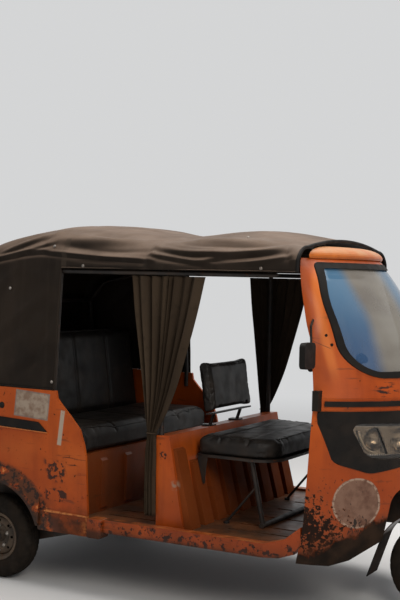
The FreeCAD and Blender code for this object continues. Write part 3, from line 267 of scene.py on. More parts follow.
def side_panel_paint():
    s = weathered("side_panel_paint", chips=0.668)
    near = near_side(s)
    grain = s.noise(46, 5, rough=0.65, shift=4.0)
    # Faded zone and long scratches above the arch
    faded_zone = s.z.step(0.50, 0.60) * s.z.step(0.76, 0.62) * s.spots(0.3, 0.7, 5, 3)
    s.patch(faded_zone, (0.46, 0.105, 0.018), 0.5)
    scratch = s.spots(0.62, 0.70, 52, 3, stretch=(0.10, 1, 1.3), shift=6.0)
    s.patch(scratch * s.z.step(0.54, 0.58) * s.z.step(0.70, 0.62), BARE_DARK, 0.75)
    # Bare pale sticker and a strip of old tape
    sticker = slanted_box(s, STICKER, (0.100, 0.063), 0.10, 0.06)
    paper = s.mix(s.spots(0.35, 0.7, 30, 4), (0.34, 0.265, 0.20), (0.20, 0.125, 0.085))
    frayed = grain.step(0.66, 0.62).most(slanted_box(s, STICKER, (0.088, 0.052), 0.10, 0.06))
    s.patch(sticker * frayed * near, paper)
    ring = slanted_box(s, STICKER, (0.094, 0.057), 0.10, 0.06, 0.004)
    s.patch(sticker * ring.step(1.0, 0.2) * near, (0.16, 0.12, 0.11), 0.5)
    tape = slanted_box(s, (0.392, 0.765), (0.0115, 0.082), 0.12, 0.10, 0.003)
    s.patch(tape * near * grain.step(0.70, 0.62), (0.40, 0.34, 0.26), 0.9)
    # Old black paint, rubbed down to two plain blots
    upper = slanted_box(s, (0.368, 0.560), (0.056, 0.048), -0.30, 0.04, 0.012)
    blots = s.spots(0.46, 0.53, 44, 4, shift=1.0)
    s.patch(upper * blots * near * grain.step(0.60, 0.52), BARE_DARK, 0.92)
    lower = slanted_box(s, (0.372, 0.452), (0.060, 0.028), 0.0, 0.02, 0.008)
    s.patch(lower * near * s.spots(0.52, 0.57, 26, 3, shift=8.0), BARE_DARK, 0.9)
    # Rust round the pressed wheel arch
    reach = (s.x * s.x + (s.z - 0.2) * (s.z - 0.2)).power(0.5)
    band = reach.step(0.385, 0.360)
    patches = s.noise(13, 5, rough=0.6, shift=7.0)
    s.patch(band * patches.step(0.38, 0.50), (0.070, 0.026, 0.011), 0.92)
    s.patch(band * grain.step(0.50, 0.56), (0.018, 0.010, 0.007), 0.95)
    s.patch(band * grain.step(0.44, 0.40) * patches.step(0.40, 0.36), (0.56, 0.20, 0.06), 0.9)
    # Painted highlight along the crease of the lower ledge
    painted_ledge_highlight = (s.z - 0.372 + (s.x - 0.30) * 0.02).size().step(0.0065, 0.0025) * s.x.step(0.30, 0.33)
    s.patch(painted_ledge_highlight * s.spots(0.30, 0.55, 40, 3) * near, (0.62, 0.24, 0.075), 0.75)
    worn_end = s.x.step(0.50, 0.575) * s.z.step(0.375, 0.365)
    s.patch(worn_end * grain.step(0.46, 0.54), (0.60, 0.20, 0.050), 0.6)
    foot = s.z.step(0.368, 0.330) * s.spots(0.42, 0.60, 12, 4, shift=2.0)
    s.patch(foot, (0.030, 0.014, 0.008), 0.85)
    s.patch(reach.step(0.300, 0.287), (0.026, 0.014, 0.009), 0.85)
    return finish_paint(s)


def apron_paint():
    s = weathered("apron_paint", chips=0.70)
    grain = s.noise(58, 6, rough=0.66, shift=4.0)
    # Painted shade: the apron gets darker towards the bottom
    s.patch(s.z.step(0.92, 0.56), ORANGE_DEEP, 0.42)
    # Pale bare disc, rubbed at its lower edge
    disc = s.distance((1.786, -0.459, 0.544))
    rub = s.noise(34, 4, shift=2.0)
    edge = (disc + rub * 0.008).step(0.1125, 0.1100)
    pale = s.mix(s.spots(0.35, 0.75, 24, 5), (0.185, 0.100, 0.066), (0.100, 0.044, 0.027))
    s.patch(edge, pale)
    band = (disc + rub * 0.008 - 0.1065).size().step(0.0055, 0.0030)
    s.patch(band * s.spots(0.40, 0.52, 60, 4, shift=3.0), (0.34, 0.23, 0.165), 0.85)
    # Peeled black patch below and behind it
    heart = s.distance((1.630, -0.555, 0.430)) * -1.0 + 0.21
    runs = s.noise(30, 4, stretch=(1.2, 1.2, 0.25), shift=3.0) * 0.30
    loose = grain * 0.8 + runs + heart * 1.25
    peel = loose.step(0.700, 0.720)
    fringe = loose.step(0.660, 0.700)
    s.patch(fringe * near_side(s).most(heart.step(-0.1, 0.0)), (0.16, 0.050, 0.018), 0.7)
    s.patch(peel, BARE_DARK, 0.96)
    flecks = s.noise(85, 5, rough=0.6, stretch=(1, 1, 0.55), shift=6.0)
    near_disc = s.distance((1.795, -0.455, 0.440)).step(0.085, 0.030) * 0.12
    s.patch((flecks + near_disc).step(0.665, 0.685), BARE_DARK, 0.92)
    # Dark coat along the lower edge
    line = s.z - 0.315 - (s.x - 1.583) * 0.50 + (s.noise(11, 5, shift=3.0, rough=0.6) - 0.5) * 0.13
    coat = s.mix(s.spots(0.3, 0.8, 16, 4), (0.010, 0.0072, 0.0055), (0.028, 0.016, 0.010))
    rusty = line.step(0.060, 0.0) * s.spots(0.35, 0.65, 24, 4, shift=9.0)
    s.patch(rusty, (0.075, 0.022, 0.008), 0.7)
    s.patch(line.step(0.022, -0.012), coat)
    s.worn = s.worn.most(peel).most(line.step(0.01, 0.0))
    return finish_paint(s)


def screen_frame_paint():
    s = weathered("screen_frame_paint", dirt_top=0.50, chips=0.705)
    # Painted highlight down the pillar's ridge and painted shade on its rear half
    ahead = s.x + s.z * 0.28 - 1.994
    rise = s.z.step(1.02, 1.16) * s.z.step(1.58, 1.48)
    s.patch(ahead.step(0.006, -0.034) * s.z.step(0.98, 1.08), ORANGE_DEEP, 0.45)
    s.patch(ahead.size().step(0.026, 0.006) * rise, (0.66, 0.190, 0.038), 0.50)
    scrape = s.spots(0.52, 0.58, 40, 4, stretch=(0.5, 0.5, 2.2), shift=4.0)
    spot = s.distance((1.870, -0.350, 1.003)).step(0.075, 0.035)
    s.patch(scrape * spot, BARE_DARK, 0.9)
    knock = s.distance((1.575, -0.50, 1.535)).step(0.045, 0.015) * s.spots(0.5, 0.58, 60, 4)
    s.patch(knock, RUST, 0.8)
    seam = (s.z - 1.213 + (s.x - 1.626) * 0.5).size().step(0.0022, 0.0008)
    s.patch(seam * s.x.step(1.68, 1.66) * s.y.size().step(0.5, 0.51), (0.09, 0.03, 0.012), 0.8)
    return finish_paint(s)


def sill_paint():
    s = weathered("sill_paint", lit=(0.36, 0.062, 0.008), dull=(0.24, 0.038, 0.006),
                  dirt_top=0.40, chips=0.64)
    blots = s.spots(0.53, 0.60, 34, 5, rough=0.6, shift=2.0)
    s.patch(blots * s.z.step(0.375, 0.345), BARE_DARK, 0.9)
    s.patch(s.up.step(0.4, 0.9) * s.spots(0.45, 0.6, 17, 4), (0.46, 0.155, 0.045), 0.45)
    s.patch(s.z.step(0.325, 0.300), (0.030, 0.016, 0.010), 0.75)
    # Painted shadow on part of the sill's top face
    painted_shadow_landing = s.x.step(0.60, 0.66) * s.x.step(0.94, 0.88) * s.up.step(0.4, 0.9)
    s.patch(painted_shadow_landing * s.spots(0.30, 0.60, 11, 4, shift=5.0), (0.034, 0.018, 0.011), 0.9)
    return finish_paint(s)


def partition_paint():
    s = weathered("partition_paint", dirt_top=0.46, chips=0.69)
    # Painted shade on the driver's side of the partition, which is also made duller
    shaded_driver_side = (s.x + (s.z - 0.352) * 0.19).step(1.004, 1.012)
    s.patch(shaded_driver_side, (0.130, 0.031, 0.007), 0.86)
    s.worn = s.worn.most(shaded_driver_side * 0.85)
    pale_rub = s.distance((0.960, -0.560, 0.545)).step(0.030, 0.010) * s.spots(0.4, 0.6, 50, 3)
    s.patch(pale_rub, (0.30, 0.24, 0.18), 0.8)
    blot = s.distance((0.897, -0.566, 0.672)).step(0.024, 0.016) * s.spots(0.48, 0.53, 95, 3)
    s.patch(blot, BARE_DARK, 0.95)
    s.patch(s.spots(0.5, 0.7, 3, 2), (0.22, 0.055, 0.012), 0.3)
    return finish_paint(s)


def floor_paint():
    s = weathered("floor_paint", lit=(0.15, 0.044, 0.014), dull=(0.085, 0.028, 0.011),
                  deep=(0.036, 0.017, 0.010), dirt_top=0.40, chips=0.66)
    s.patch(s.spots(0.44, 0.60, 7, 4, shift=4.0), (0.052, 0.030, 0.019), 0.8)
    return finish_paint(s)


def guard_paint():
    s = weathered("guard_paint", lit=(0.042, 0.009, 0.005), dull=(0.028, 0.007, 0.004),
                  deep=(0.014, 0.006, 0.004), dirt_top=0.44, chips=0.69, dust=0.04)
    rubber = s.x.step(1.775, 1.758) * s.z.step(0.352, 0.340)
    s.patch(rubber, (0.010, 0.008, 0.007), 1.0)
    s.worn = s.worn.most(rubber)
    s.patch(s.z.step(0.47, 0.42) * s.spots(0.35, 0.6, 9, 4), (0.034, 0.017, 0.010), 0.6)
    return finish_paint(s)


def seat_box_paint():
    s = weathered("seat_box_paint", lit=(0.17, 0.042, 0.011), dull=(0.12, 0.030, 0.009), chips=0.69, dust=0.0)
    return finish_paint(s)


def visor_paint():
    s = weathered("visor_paint", lit=(0.52, 0.135, 0.020), dull=(0.44, 0.098, 0.012), chips=0.72)
    # Paler upward faces: dust together with a painted highlight
    s.patch(s.up.step(0.25, 0.85) * s.spots(0.15, 0.60, 9, 4, shift=2.0), (0.46, 0.27, 0.13), 0.66)
    return finish_paint(s)


def dark_metal(name, tone, dirt, metal=0.0, rough=0.55, dirt_share=0.6):
    s = Surface(name, Metallic=metal, Specular_IOR_Level=0.2)
    s.base = s.mix(s.spots(0.3, 0.75, 26, 4), tone, [c * 1.6 for c in tone])
    s.patch(s.spots(0.40, 0.66, 8, 5, shift=4.0), dirt, dirt_share)
    s.patch(s.spots(0.63, 0.66, 55, 5, rough=0.62), RUST, 0.8)
    return s.finished(s.spots(0.3, 0.8, 30, 3) * 0.25 + rough - 0.1, (s.noise(90, 3), 0.0006, 0.5))


def rubber(name, tone=(0.012, 0.0105, 0.0095), dirt=(0.050, 0.034, 0.022), share=0.40, rough=0.62):
    s = Surface(name, Specular_IOR_Level=0.12)
    s.base = s.mix(s.spots(0.38, 0.72, 9, 5) * share, tone, dirt)
    return s.finished(s.spots(0.3, 0.7, 25, 4) * 0.2 + rough, (s.noise(260, 2), 0.0003, 0.6))


def gloss_plastic():
    s = Surface("black_lamp_plastic", Specular_IOR_Level=0.13)
    s.base = s.mix(s.spots(0.42, 0.72, 11, 5) * 0.35, (0.0075, 0.0060, 0.0050), (0.030, 0.020, 0.014))
    s.patch(s.up.step(0.3, 0.95), (0.070, 0.050, 0.034), 0.4)
    return s.finished(s.spots(0.3, 0.8, 20, 4) * 0.22 + 0.24, (s.noise(420, 2), 0.0002, 0.4))


def canvas():
    """Coated cloth: a fine weave, a pale top that is dust where rain lets it lie and painted sky light,
    painted shade on the dark sides, creases and stains.
    """
    s = Surface("coated_canvas", Specular_IOR_Level=0.10)
    # Painted light: a dark copy of the cloth for the shaded sides and a pale copy for the lit top, which also
    # stands for dust
    side = s.mix(s.spots(0.3, 0.7, 4, 4), (0.0110, 0.0074, 0.0050), (0.0175, 0.0118, 0.0078))
    top = s.mix(s.spots(0.32, 0.70, 3.5, 5, shift=2.0), (0.150, 0.104, 0.076), (0.092, 0.062, 0.044))
    lit_top_and_dust = (s.up + (s.noise(5, 4, stretch=(0.4, 1, 1)) - 0.5) * 0.35).step(0.10, 0.80)
    s.base = s.mix(lit_top_and_dust, side, top)
    s.patch(s.spots(0.52, 0.75, 6, 5, stretch=(1, 0.5, 0.5), shift=7.0), (0.040, 0.028, 0.020), 0.30)
    runs = s.spots(0.5, 0.72, 22, 3, stretch=(1, 1, 0.05), shift=1.0)
    s.patch(runs * lit_top_and_dust.step(0.9, 0.2), (0.034, 0.025, 0.018), 0.25)
    seam = (s.x - SHEET_SEAM_X).size().step(0.016, 0.012) * s.sideways.step(0.6, 0.9)
    s.patch(seam, (0.046, 0.034, 0.024), 0.55)
    weave = s.waves(330, "DIAGONAL") * s.noise(700, 1)
    return s.finished(s.spots(0.3, 0.8, 12, 4) * 0.15 + 0.52,
                      (weave, 0.00025, 0.6), (s.noise(38, 4), 0.0012, 0.45))


def curtain_cloth():
    s = Surface("curtain_cloth", Specular_IOR_Level=0.08)
    bleached = s.spots(0.3, 0.7, 7, 4, stretch=(1, 1, 0.2))
    s.base = s.mix(bleached, (0.034, 0.0230, 0.0150), (0.056, 0.038, 0.0240))
    s.patch(s.spots(0.55, 0.75, 30, 4, shift=4.0), (0.011, 0.008, 0.0055), 0.4)
    weave = s.waves(420, "X") * s.waves(420, "Z")
    return s.finished(s.spots(0.2, 0.8, 30, 2) * 0.1 + 0.72, (weave, 0.0003, 0.5))


def vinyl():
    s = Surface("seat_vinyl", Specular_IOR_Level=0.24)
    s.base = s.mix(s.spots(0.38, 0.75, 10, 5) * 0.7, (0.009, 0.0077, 0.0068), (0.030, 0.021, 0.015))
    s.patch(s.up.step(0.6, 0.98) * s.spots(0.35, 0.75, 18, 4), (0.075, 0.055, 0.042), 0.35)
    return s.finished(s.spots(0.3, 0.8, 16, 4) * 0.2 + 0.40,
                      (s.cells(330), 0.0003, 0.55), (s.noise(24, 3), 0.0015, 0.3))


def glass_sheet():
    """Windscreen glass: a painted reflection, pale clouds of sky with a film of dust and a bluish cast
    towards the near pillar.
    """
    s = Surface("windscreen_painted_reflection", IOR=1.5, Specular_IOR_Level=0.35)
    edge = s.y + (s.z - 1.30) * -0.10 + (s.noise(3, 2) - 0.5) * 0.06
    # Painted reflection: blue towards the near pillar, and pale clouds of reflected sky mixed with dust
    painted_blue_reflection = s.mix(s.z.step(1.15, 1.50), (0.030, 0.080, 0.180), (0.065, 0.165, 0.280))
    reflection_and_dust_clouds = s.spots(0.30, 0.70, 4, 2, stretch=(1, 0.6, 1.4), shift=5.0)
    pale = s.mix(reflection_and_dust_clouds, (0.240, 0.220, 0.185), (0.130, 0.110, 0.090))
    s.base = s.mix(edge.step(-0.350, -0.270) * edge.step(0.080, -0.080), painted_blue_reflection, pale)
    s.set("Alpha", s.spots(0.3, 0.8, 7, 4, stretch=(1, 1, 0.5)) * 0.16 + 0.72)
    return s.finished(0.06)


def lamp_lens():
    s = Surface("lamp_lens", IOR=1.46, Transmission_Weight=1.0)
    s.base = s.mix(s.spots(0.45, 0.8, 20, 4) * 0.4, (0.80, 0.72, 0.62), (0.40, 0.29, 0.20))
    return s.finished(0.05, (s.waves(38, "Y").power(2.0), 0.0012, 0.35))


def reflector():
    s = Surface("lamp_reflector", Metallic=1.0)
    s.base = s.mix(s.spots(0.45, 0.75, 14, 4), (0.30, 0.265, 0.225), (0.115, 0.086, 0.062))
    return s.finished(s.spots(0.3, 0.8, 30, 3) * 0.14 + 0.16)


def tail_lens():
    s = Surface("tail_lens", Specular_IOR_Level=0.6, Transmission_Weight=0.25)
    s.base = s.mix(s.z.step(0.752, 0.756), (0.36, 0.012, 0.010), (0.55, 0.16, 0.012))
    ribs = s.waves(60, "Y") * s.waves(60, "Z")
    return s.finished(s.spots(0.3, 0.8, 40, 3) * 0.1 + 0.16, (ribs, 0.0006, 0.5))


def mirror_face():
    s = Surface("mirror_face", Metallic=1.0)
    s.base = s.mix(s.spots(0.5, 0.8, 9, 5) * 0.5, (0.76, 0.77, 0.78), (0.30, 0.26, 0.22))
    return s.finished(s.spots(0.4, 0.8, 15, 4) * 0.2 + 0.05)


def tyre_rubber():
    s = Surface("tyre_rubber", Specular_IOR_Level=0.06)
    s.base = s.mix(s.spots(0.3, 0.75, 30, 4), (0.0095, 0.0078, 0.0064), (0.020, 0.0155, 0.0120))
    s.patch(s.spots(0.40, 0.72, 10, 5, shift=2.0), (0.026, 0.017, 0.011), 0.6)
    return s.finished(s.spots(0.3, 0.8, 40, 3) * 0.15 + 0.72, (s.noise(320, 2), 0.0004, 0.5))


# Each look and the nodes that wear it
LOOKS = {
    "side_panel": (side_panel_paint(), "rear_side_panels"),
    "apron": (apron_paint(), "front_apron"),
    "screen_frame": (screen_frame_paint(), "windscreen_frame"),
    "sill": (sill_paint(), "door_sills"),
    "partition": (partition_paint(), "partition"),
    "floor": (floor_paint(), "floor_pan"),
    "guard": (guard_paint(), "front_mudguard"),
    "tail": (finish_paint(weathered("tail_paint", chips=0.685)), "rear_panel engine_lid"),
    "seat_box": (seat_box_paint(), "seat_box"),
    "visor": (visor_paint(), "roof_visor"),
    "underbody": (dark_metal("underbody_metal", (0.020, 0.017, 0.015), (0.085, 0.052, 0.032)),
                  "chassis_frame trailing_arms front_wheelhouse wheel_liners drive_shafts silencer"),
    "engine": (dark_metal("engine_metal", (0.16, 0.155, 0.15), (0.075, 0.048, 0.030), 0.7, 0.5, 0.8),
               "engine_block"),
    "spring": (dark_metal("spring_metal", (0.035, 0.032, 0.030), (0.085, 0.055, 0.034), 0.3), "rear_springs"),
    "fork": (dark_metal("fork_metal", (0.022, 0.020, 0.019), (0.085, 0.052, 0.032)), "steering_fork"),
    "tube": (dark_metal("tube_paint", (0.014, 0.012, 0.011), (0.055, 0.036, 0.024), 0.0, 0.45, 0.4),
             "hood_frame driver_seat_frame"),
    "rim": (dark_metal("rim_paint", (0.040, 0.030, 0.022), (0.105, 0.068, 0.042), 0.1, 0.55, 0.75),
            "front_rim rear_left_rim rear_right_rim"),
    "steel": (dark_metal("bolt_steel", (0.22, 0.20, 0.18), (0.09, 0.060, 0.040), 0.85, 0.42, 0.5), ""),
    "seal": (rubber("seal_rubber", (0.0065, 0.0055, 0.0048), (0.022, 0.015, 0.010), 0.3, 0.50),
             "windscreen_seal"),
    "trim": (rubber("trim_plastic", (0.0075, 0.0064, 0.0056), (0.030, 0.021, 0.014), 0.35, 0.45),
             "belt_trim dashboard mirrors rear_bumper"),
    "grip": (rubber("grip_rubber"), "handlebar"),
    "lamp_black": (gloss_plastic(), "headlamp_housing"),
    "canvas": (canvas(), "canopy"),
    "curtain": (curtain_cloth(), "curtains"),
    "vinyl": (vinyl(), "driver_seat driver_backrest passenger_seat passenger_backrest"),
    "tyre": (tyre_rubber(), "front_tyre rear_left_tyre rear_right_tyre"),
    "glass": (glass_sheet(), "windscreen_glass"),
    "lens": (lamp_lens(), "headlamp_lenses"),
    "reflector": (reflector(), "headlamp_bowls"),
    "tail_lens": (tail_lens(), "tail_lamps"),
    "mirror": (mirror_face(), "mirror_glasses"),
    # Pale stuff for the lamp rims: a painted glint
    "glint": (dark_metal("lamp_glint", (0.42, 0.38, 0.32), (0.22, 0.17, 0.12), 0.2, 0.35, 0.3), ""),
}
for material, names in LOOKS.values():
    for name in names.split():
        slots = NODES[name].material_slots
        for slot in slots:
            slot.material = material
        if not slots:
            NODES[name].data.materials.append(material)


# Making pieces
def dressed(name, data, material, body):
    """A piece of the vehicle with its look and body."""
    data.materials.append(LOOKS[material][0])
    made = placed(name, data)
    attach(made, body)
    return made


def piece_from(name, verts, faces, material, body="chassis", smooth=True):
    mesh = bpy.data.meshes.new(name)
    mesh.from_pydata([tuple(v) for v in verts], [], faces)
    mesh.validate()
    if smooth:
        mesh.shade_smooth()
    return dressed(name, mesh, material, body)


def tube_piece(name, runs, radius, material, body="chassis", closed=False):
    """A round cord or rod along each run of points."""
    data = bpy.data.curves.new(name, "CURVE")
    data.dimensions = "3D"
    data.bevel_depth = radius
    data.bevel_resolution = 3
    data.use_fill_caps = True
    for points in runs:
        spline = data.splines.new("NURBS")
        spline.points.add(len(points) - 1)
        for p, place in zip(spline.points, points):
            p.co = tuple(place) + (1.0,)
        spline.use_cyclic_u = closed
        spline.order_u = 3
        spline.use_endpoint_u = not closed
        spline.resolution_u = 3
    return dressed(name, data, material, body)


def grid_faces(rows, columns, keep=None):
    faces = []
    for i in range(rows - 1):
        for j in range(columns - 1):
            if keep is None or keep(i, j):
                a = i * columns + j
                faces.append((a, a + 1, a + columns + 1, a + columns))
    return faces


def face_outward(made):
    mesh = bmesh.new()
    mesh.from_mesh(made.data)
    bmesh.ops.recalc_face_normals(mesh, faces=mesh.faces)
    mesh.to_mesh(made.data)
    mesh.free()


ROUND = 12
# Shares of a domed head's radius and height, from the rim to the crown
DOME = [(1.0, 0.0), (0.96, 0.35), (0.75, 0.72), (0.40, 0.95)]


def heads(name, places, radius, height, material, body="chassis", sides=6, washer=1.5, domed=False):
    """Bolt or rivet heads at (x, y, z) with outward axis, all in one mesh."""
    verts = []
    faces = []

    def stack(centre, turn, rings, count):
        """Rings of (radius, height) skinned together and closed at the top."""
        rows = []
        for r, h in rings:
            rows.append(range(len(verts), len(verts) + count))
            for k in range(count):
                a = 2 * math.pi * k / count
                verts.append(centre + turn @ Vector((r * math.cos(a), r * math.sin(a), h)))
        for low, high in zip(rows, rows[1:]):
            for k in range(count):
                after = (k + 1) % count
                faces.append((low[k], low[after], high[after], high[k]))
        faces.append(tuple(rows[-1]))

    for place, axis in places:
        centre = Vector(place)
        turn = Vector((0, 0, 1)).rotation_difference(Vector(axis)).to_matrix()
        if washer:
            rim = radius * washer
            stack(centre, turn, [(rim, -height * 0.3), (rim * 0.96, height * 0.22)], ROUND)
        if domed:
            stack(centre, turn, [(radius * r, height * h) for r, h in DOME], ROUND)
        else:
            rings = [(radius, -height * 0.1), (radius, height * 0.85), (radius * 0.82, height)]
            stack(centre, turn, rings, sides)
    return piece_from(name, verts, faces, material, body, smooth=False)


def plate(name, outline, y0, y1, material, bevel=0.0015):
    """Plate with an (x, z) outline between two places across, with bevelled edges."""
    mesh = bmesh.new()
    face = mesh.faces.new([mesh.verts.new(at(x, y0, z)) for x, z in outline])
    out = bmesh.ops.extrude_face_region(mesh, geom=[face])
    moved = [v for v in out["geom"] if isinstance(v, bmesh.types.BMVert)]
    bmesh.ops.translate(mesh, verts=moved, vec=(0, y1 - y0, 0))
    bmesh.ops.recalc_face_normals(mesh, faces=mesh.faces)
    edges = list(mesh.edges)
    bmesh.ops.bevel(mesh, geom=edges, offset=bevel, segments=2, affect="EDGES", clamp_overlap=True)
    data = bpy.data.meshes.new(name)
    mesh.to_mesh(data)
    mesh.free()
    return dressed(name, data, material, "chassis")


# Canopy: one continuous sheet over the hoops, from hem to hem and down over the tail.
# Sections from the tail forward: place, bottom half width, shoulder half width, shoulder height,
# half width where the crown starts, crown edge height, crown height.
CANOPY = [
    (-0.372, 0.640, 0.585, 1.262, 0.520, 1.330, 1.352),
    (-0.330, 0.645, 0.592, 1.372, 0.510, 1.460, 1.488),
    (-0.190, 0.647, 0.600, 1.478, 0.500, 1.570, 1.602),
    (0.090, 0.648, 0.604, 1.540, 0.500, 1.664, 1.717),
    (0.440, 0.648, 0.606, 1.550, 0.500, 1.672, 1.727),
    (0.800, 0.646, 0.604, 1.532, 0.498, 1.632, 1.680),
    (1.190, 0.630, 0.596, 1.540, 0.492, 1.652, 1.706),
    (1.528, 0.600, 0.541, 1.560, 0.440, 1.618, 1.661),
]
CANOPY_HEM_Z = 0.9354
ROOF_EDGE_Z = 1.508
# Front end of the quarter panels, and the height where they end and the shoulder begins
QUARTER_X = 0.345
SHOULDER_Z = 1.50
# Corners of the rear window, across and up, and the sides between them
WINDOW = [(-0.300, 1.080), (0.300, 1.080), (0.270, 1.290), (-0.270, 1.290)]
WINDOW_SIDES = list(zip(WINDOW, WINDOW[1:] + WINDOW[:1]))


def smooth_rows(rows, place):
    """Row values at a place along X, on a curve through the table's rows."""
    table = np.array(rows)
    xs = table[:, 0]
    i = int(np.clip(np.searchsorted(xs, place) - 1, 0, len(xs) - 2))
    slopes = np.gradient(table[:, 1:], xs, axis=0)
    h = xs[i + 1] - xs[i]
    t = (place - xs[i]) / h
    a = (1 + 2 * t) * (1 - t) ** 2
    b = t * (1 - t) ** 2
    c = t * t * (3 - 2 * t)
    d = t * t * (t - 1)
    return a * table[i, 1:] + b * h * slopes[i] + c * table[i + 1, 1:] + d * h * slopes[i + 1]


def arc_points(p, q, r, count):
    """Points on the circle through three points in a plane, from p to r."""
    (ax, ay), (bx, by), (cx, cy) = p, q, r
    a2, b2, c2 = ax * ax + ay * ay, bx * bx + by * by, cx * cx + cy * cy
    d = 2 * (ax * (by - cy) + bx * (cy - ay) + cx * (ay - by))
    ux = (a2 * (by - cy) + b2 * (cy - ay) + c2 * (ay - by)) / d
    uy = (a2 * (cx - bx) + b2 * (ax - cx) + c2 * (bx - ax)) / d
    radius = math.hypot(ax - ux, ay - uy)
    start, mid, stop = (math.atan2(y - uy, x - ux) for x, y in (p, q, r))
    turn = (stop - start) % (2 * math.pi)
    if (mid - start) % (2 * math.pi) > turn:
        turn -= 2 * math.pi
    angles = [start + turn * k / count for k in range(count + 1)]
    return [(ux + radius * math.cos(a), uy + radius * math.sin(a)) for a in angles]


# Columns of the sheet: up the side, over the roof's edge, round the knee, over the crown
SIDE_STEPS = 26
EDGE_STEPS = 3
KNEE_STEPS = 36
CROWN_STEPS = 56


def canopy_profile(place, skin=0.0):
    """(y, z) points across the canopy at a place, from the right hem over the roof to the left hem."""
    wb, ws, zs, wc, ze, zc = smooth_rows(CANOPY, place)
    wb, ws, wc, zc = wb - skin, ws - skin, wc - skin, zc - skin
    knee = (-(ws + wc) / 2 - (ws - wc) * 0.17, (zs + ze) / 2 + (ze - zs) * 0.15)
    edge_z = min(ROOF_EDGE_Z, zs - 0.004)

    def side(low, high, steps):
        heights = [low + (high - low) * k / steps for k in range(steps)]
        return [(-(wb + (ws - wb) * (z - CANOPY_HEM_Z) / (zs - CANOPY_HEM_Z)), z) for z in heights]

    half = side(CANOPY_HEM_Z, edge_z, SIDE_STEPS) + side(edge_z, zs, EDGE_STEPS)
    half += arc_points((-ws, zs), knee, (-wc, ze), KNEE_STEPS)[:-1]
    crown = arc_points((-wc, ze), (0.0, zc), (wc, ze), CROWN_STEPS)
    return half + crown + [(-y, z) for y, z in reversed(half)]


# Folds along the shoulder: start, end, height at the start, middle and end, depth, width.
# A negative depth is a hollow.
FOLDS = [
    (0.26, 0.90, 1.648, 1.643, 1.652, 0.0085, 0.016),
    (0.34, 0.88, 1.610, 1.589, 1.598, -0.0100, 0.015),
    (0.20, 0.86, 1.590, 1.566, 1.551, 0.0085, 0.009),
    (-0.14, 0.27, 1.530, 1.573, 1.596, 0.0095, 0.010),
    (-0.04, 0.28, 1.572, 1.630, 1.682, 0.0075, 0.010),
    (0.04, 0.30, 1.560, 1.600, 1.640, 0.0050, 0.008),
    (0.34, 0.84, 1.702, 1.674, 1.668, 0.0060, 0.009),
    (0.44, 0.80, 1.690, 1.660, 1.664, 0.0045, 0.007),
    (0.80, 1.47, 1.620, 1.584, 1.624, 0.0105, 0.010),
    (0.90, 1.47, 1.636, 1.612, 1.634, -0.0070, 0.008),
    (0.80, 1.16, 1.584, 1.560, 1.532, 0.0070, 0.009),
    (1.04, 1.49, 1.545, 1.582, 1.610, 0.0080, 0.010),
    (1.20, 1.50, 1.535, 1.556, 1.580, 0.0060, 0.009),
    (0.96, 1.40, 1.655, 1.640, 1.648, 0.0055, 0.009),
]
# Upright folds: place at the top, place at the bottom, top, bottom, depth, width
UPRIGHT_FOLDS = [
    (0.850, 0.815, 1.668, 1.520, 0.0065, 0.016),
    (1.470, 1.512, 1.630, 1.535, 0.0070, 0.009),
    (0.265, 0.235, 1.700, 1.610, 0.0040, 0.012),
]
# Slack folds of the quarter panel: rear place, front place, rear height, front height, depth, width
QUARTER_FOLDS = [
    (0.150, 0.320, 1.443, 1.470, 0.0040, 0.006),
    (-0.260, 0.100, 1.240, 1.500, 0.0060, 0.022),
    (-0.120, 0.290, 1.120, 1.400, 0.0055, 0.028),
    (-0.300, -0.040, 1.060, 1.300, 0.0050, 0.020),
    (0.020, 0.330, 0.990, 1.180, 0.0045, 0.022),
    (0.180, 0.335, 1.010, 1.330, -0.0050, 0.030),
]


def ridge(off, depth):
    """Height of a fold at an offset, in fold widths, from its line: a rounded crest over a hollow."""
    if abs(off) > 4.0:
        return 0.0
    if depth < 0:
        return depth * math.exp(-off * off)
    return depth * (math.exp(-off * off) - 0.7 * math.exp(-(off + 2.0) ** 2))


def faded(t):
    return math.sin(math.pi * t) ** 0.6 if 0.0 < t < 1.0 else 0.0


def canopy_relief(x, y, z):
    """How far the cloth stands off its smooth shape: folds, slack between the hoops, soft waves."""
    lift = 0.0
    wander = 0.006 * noise.noise(Vector((x * 4.0, 7.0, 2.0 if y > 0 else 0.0)))
    for x0, x1, za, zm, zb, depth, width in FOLDS:
        t = (x - x0) / (x1 - x0)
        line = za * (1 - t) ** 2 + 2 * (2 * zm - (za + zb) / 2) * t * (1 - t) + zb * t * t + wander
        lift += faded(t) * ridge((z - line) / width, depth)
    for top_x, low_x, top, low, depth, width in UPRIGHT_FOLDS:
        t = (top - z) / (top - low)
        lift += faded(t) * ridge((x - top_x - (low_x - top_x) * t) / width, depth)
    for x0, x1, za, zb, depth, width in QUARTER_FOLDS:
        t = (x - x0) / (x1 - x0)
        if z < SHOULDER_Z:
            lift += faded(t) * ridge((z - za - (zb - za) * t) / width, depth)
    # Soft waves all over, along the quarter panels and on the crown
    lift += 0.0035 * noise.noise(Vector((x * 3.2, y * 5.0 + 4.0, z * 5.0)))
    lift += 0.0018 * noise.noise(Vector((x * 9.0, y * 13.0, z * 13.0 + 2.0)))
    if z < SHOULDER_Z:
        share = min(1.0, (SHOULDER_Z - z) / 0.10) * min(1.0, (z - CANOPY_HEM_Z) / 0.12)
        lift += share * 0.0050 * noise.noise(Vector((x * 4.0 + z * 2.2, 3.0 if y > 0 else -3.0, z * 2.0)))
    top = max(0.0, (z - 1.60) / 0.12)
    waves = math.sin(y * 17.0 + x * 3.0) * noise.noise(Vector((x * 2.0, y * 2.0, 5.0)))
    lift += min(1.0, top) * 0.0034 * waves
    return lift


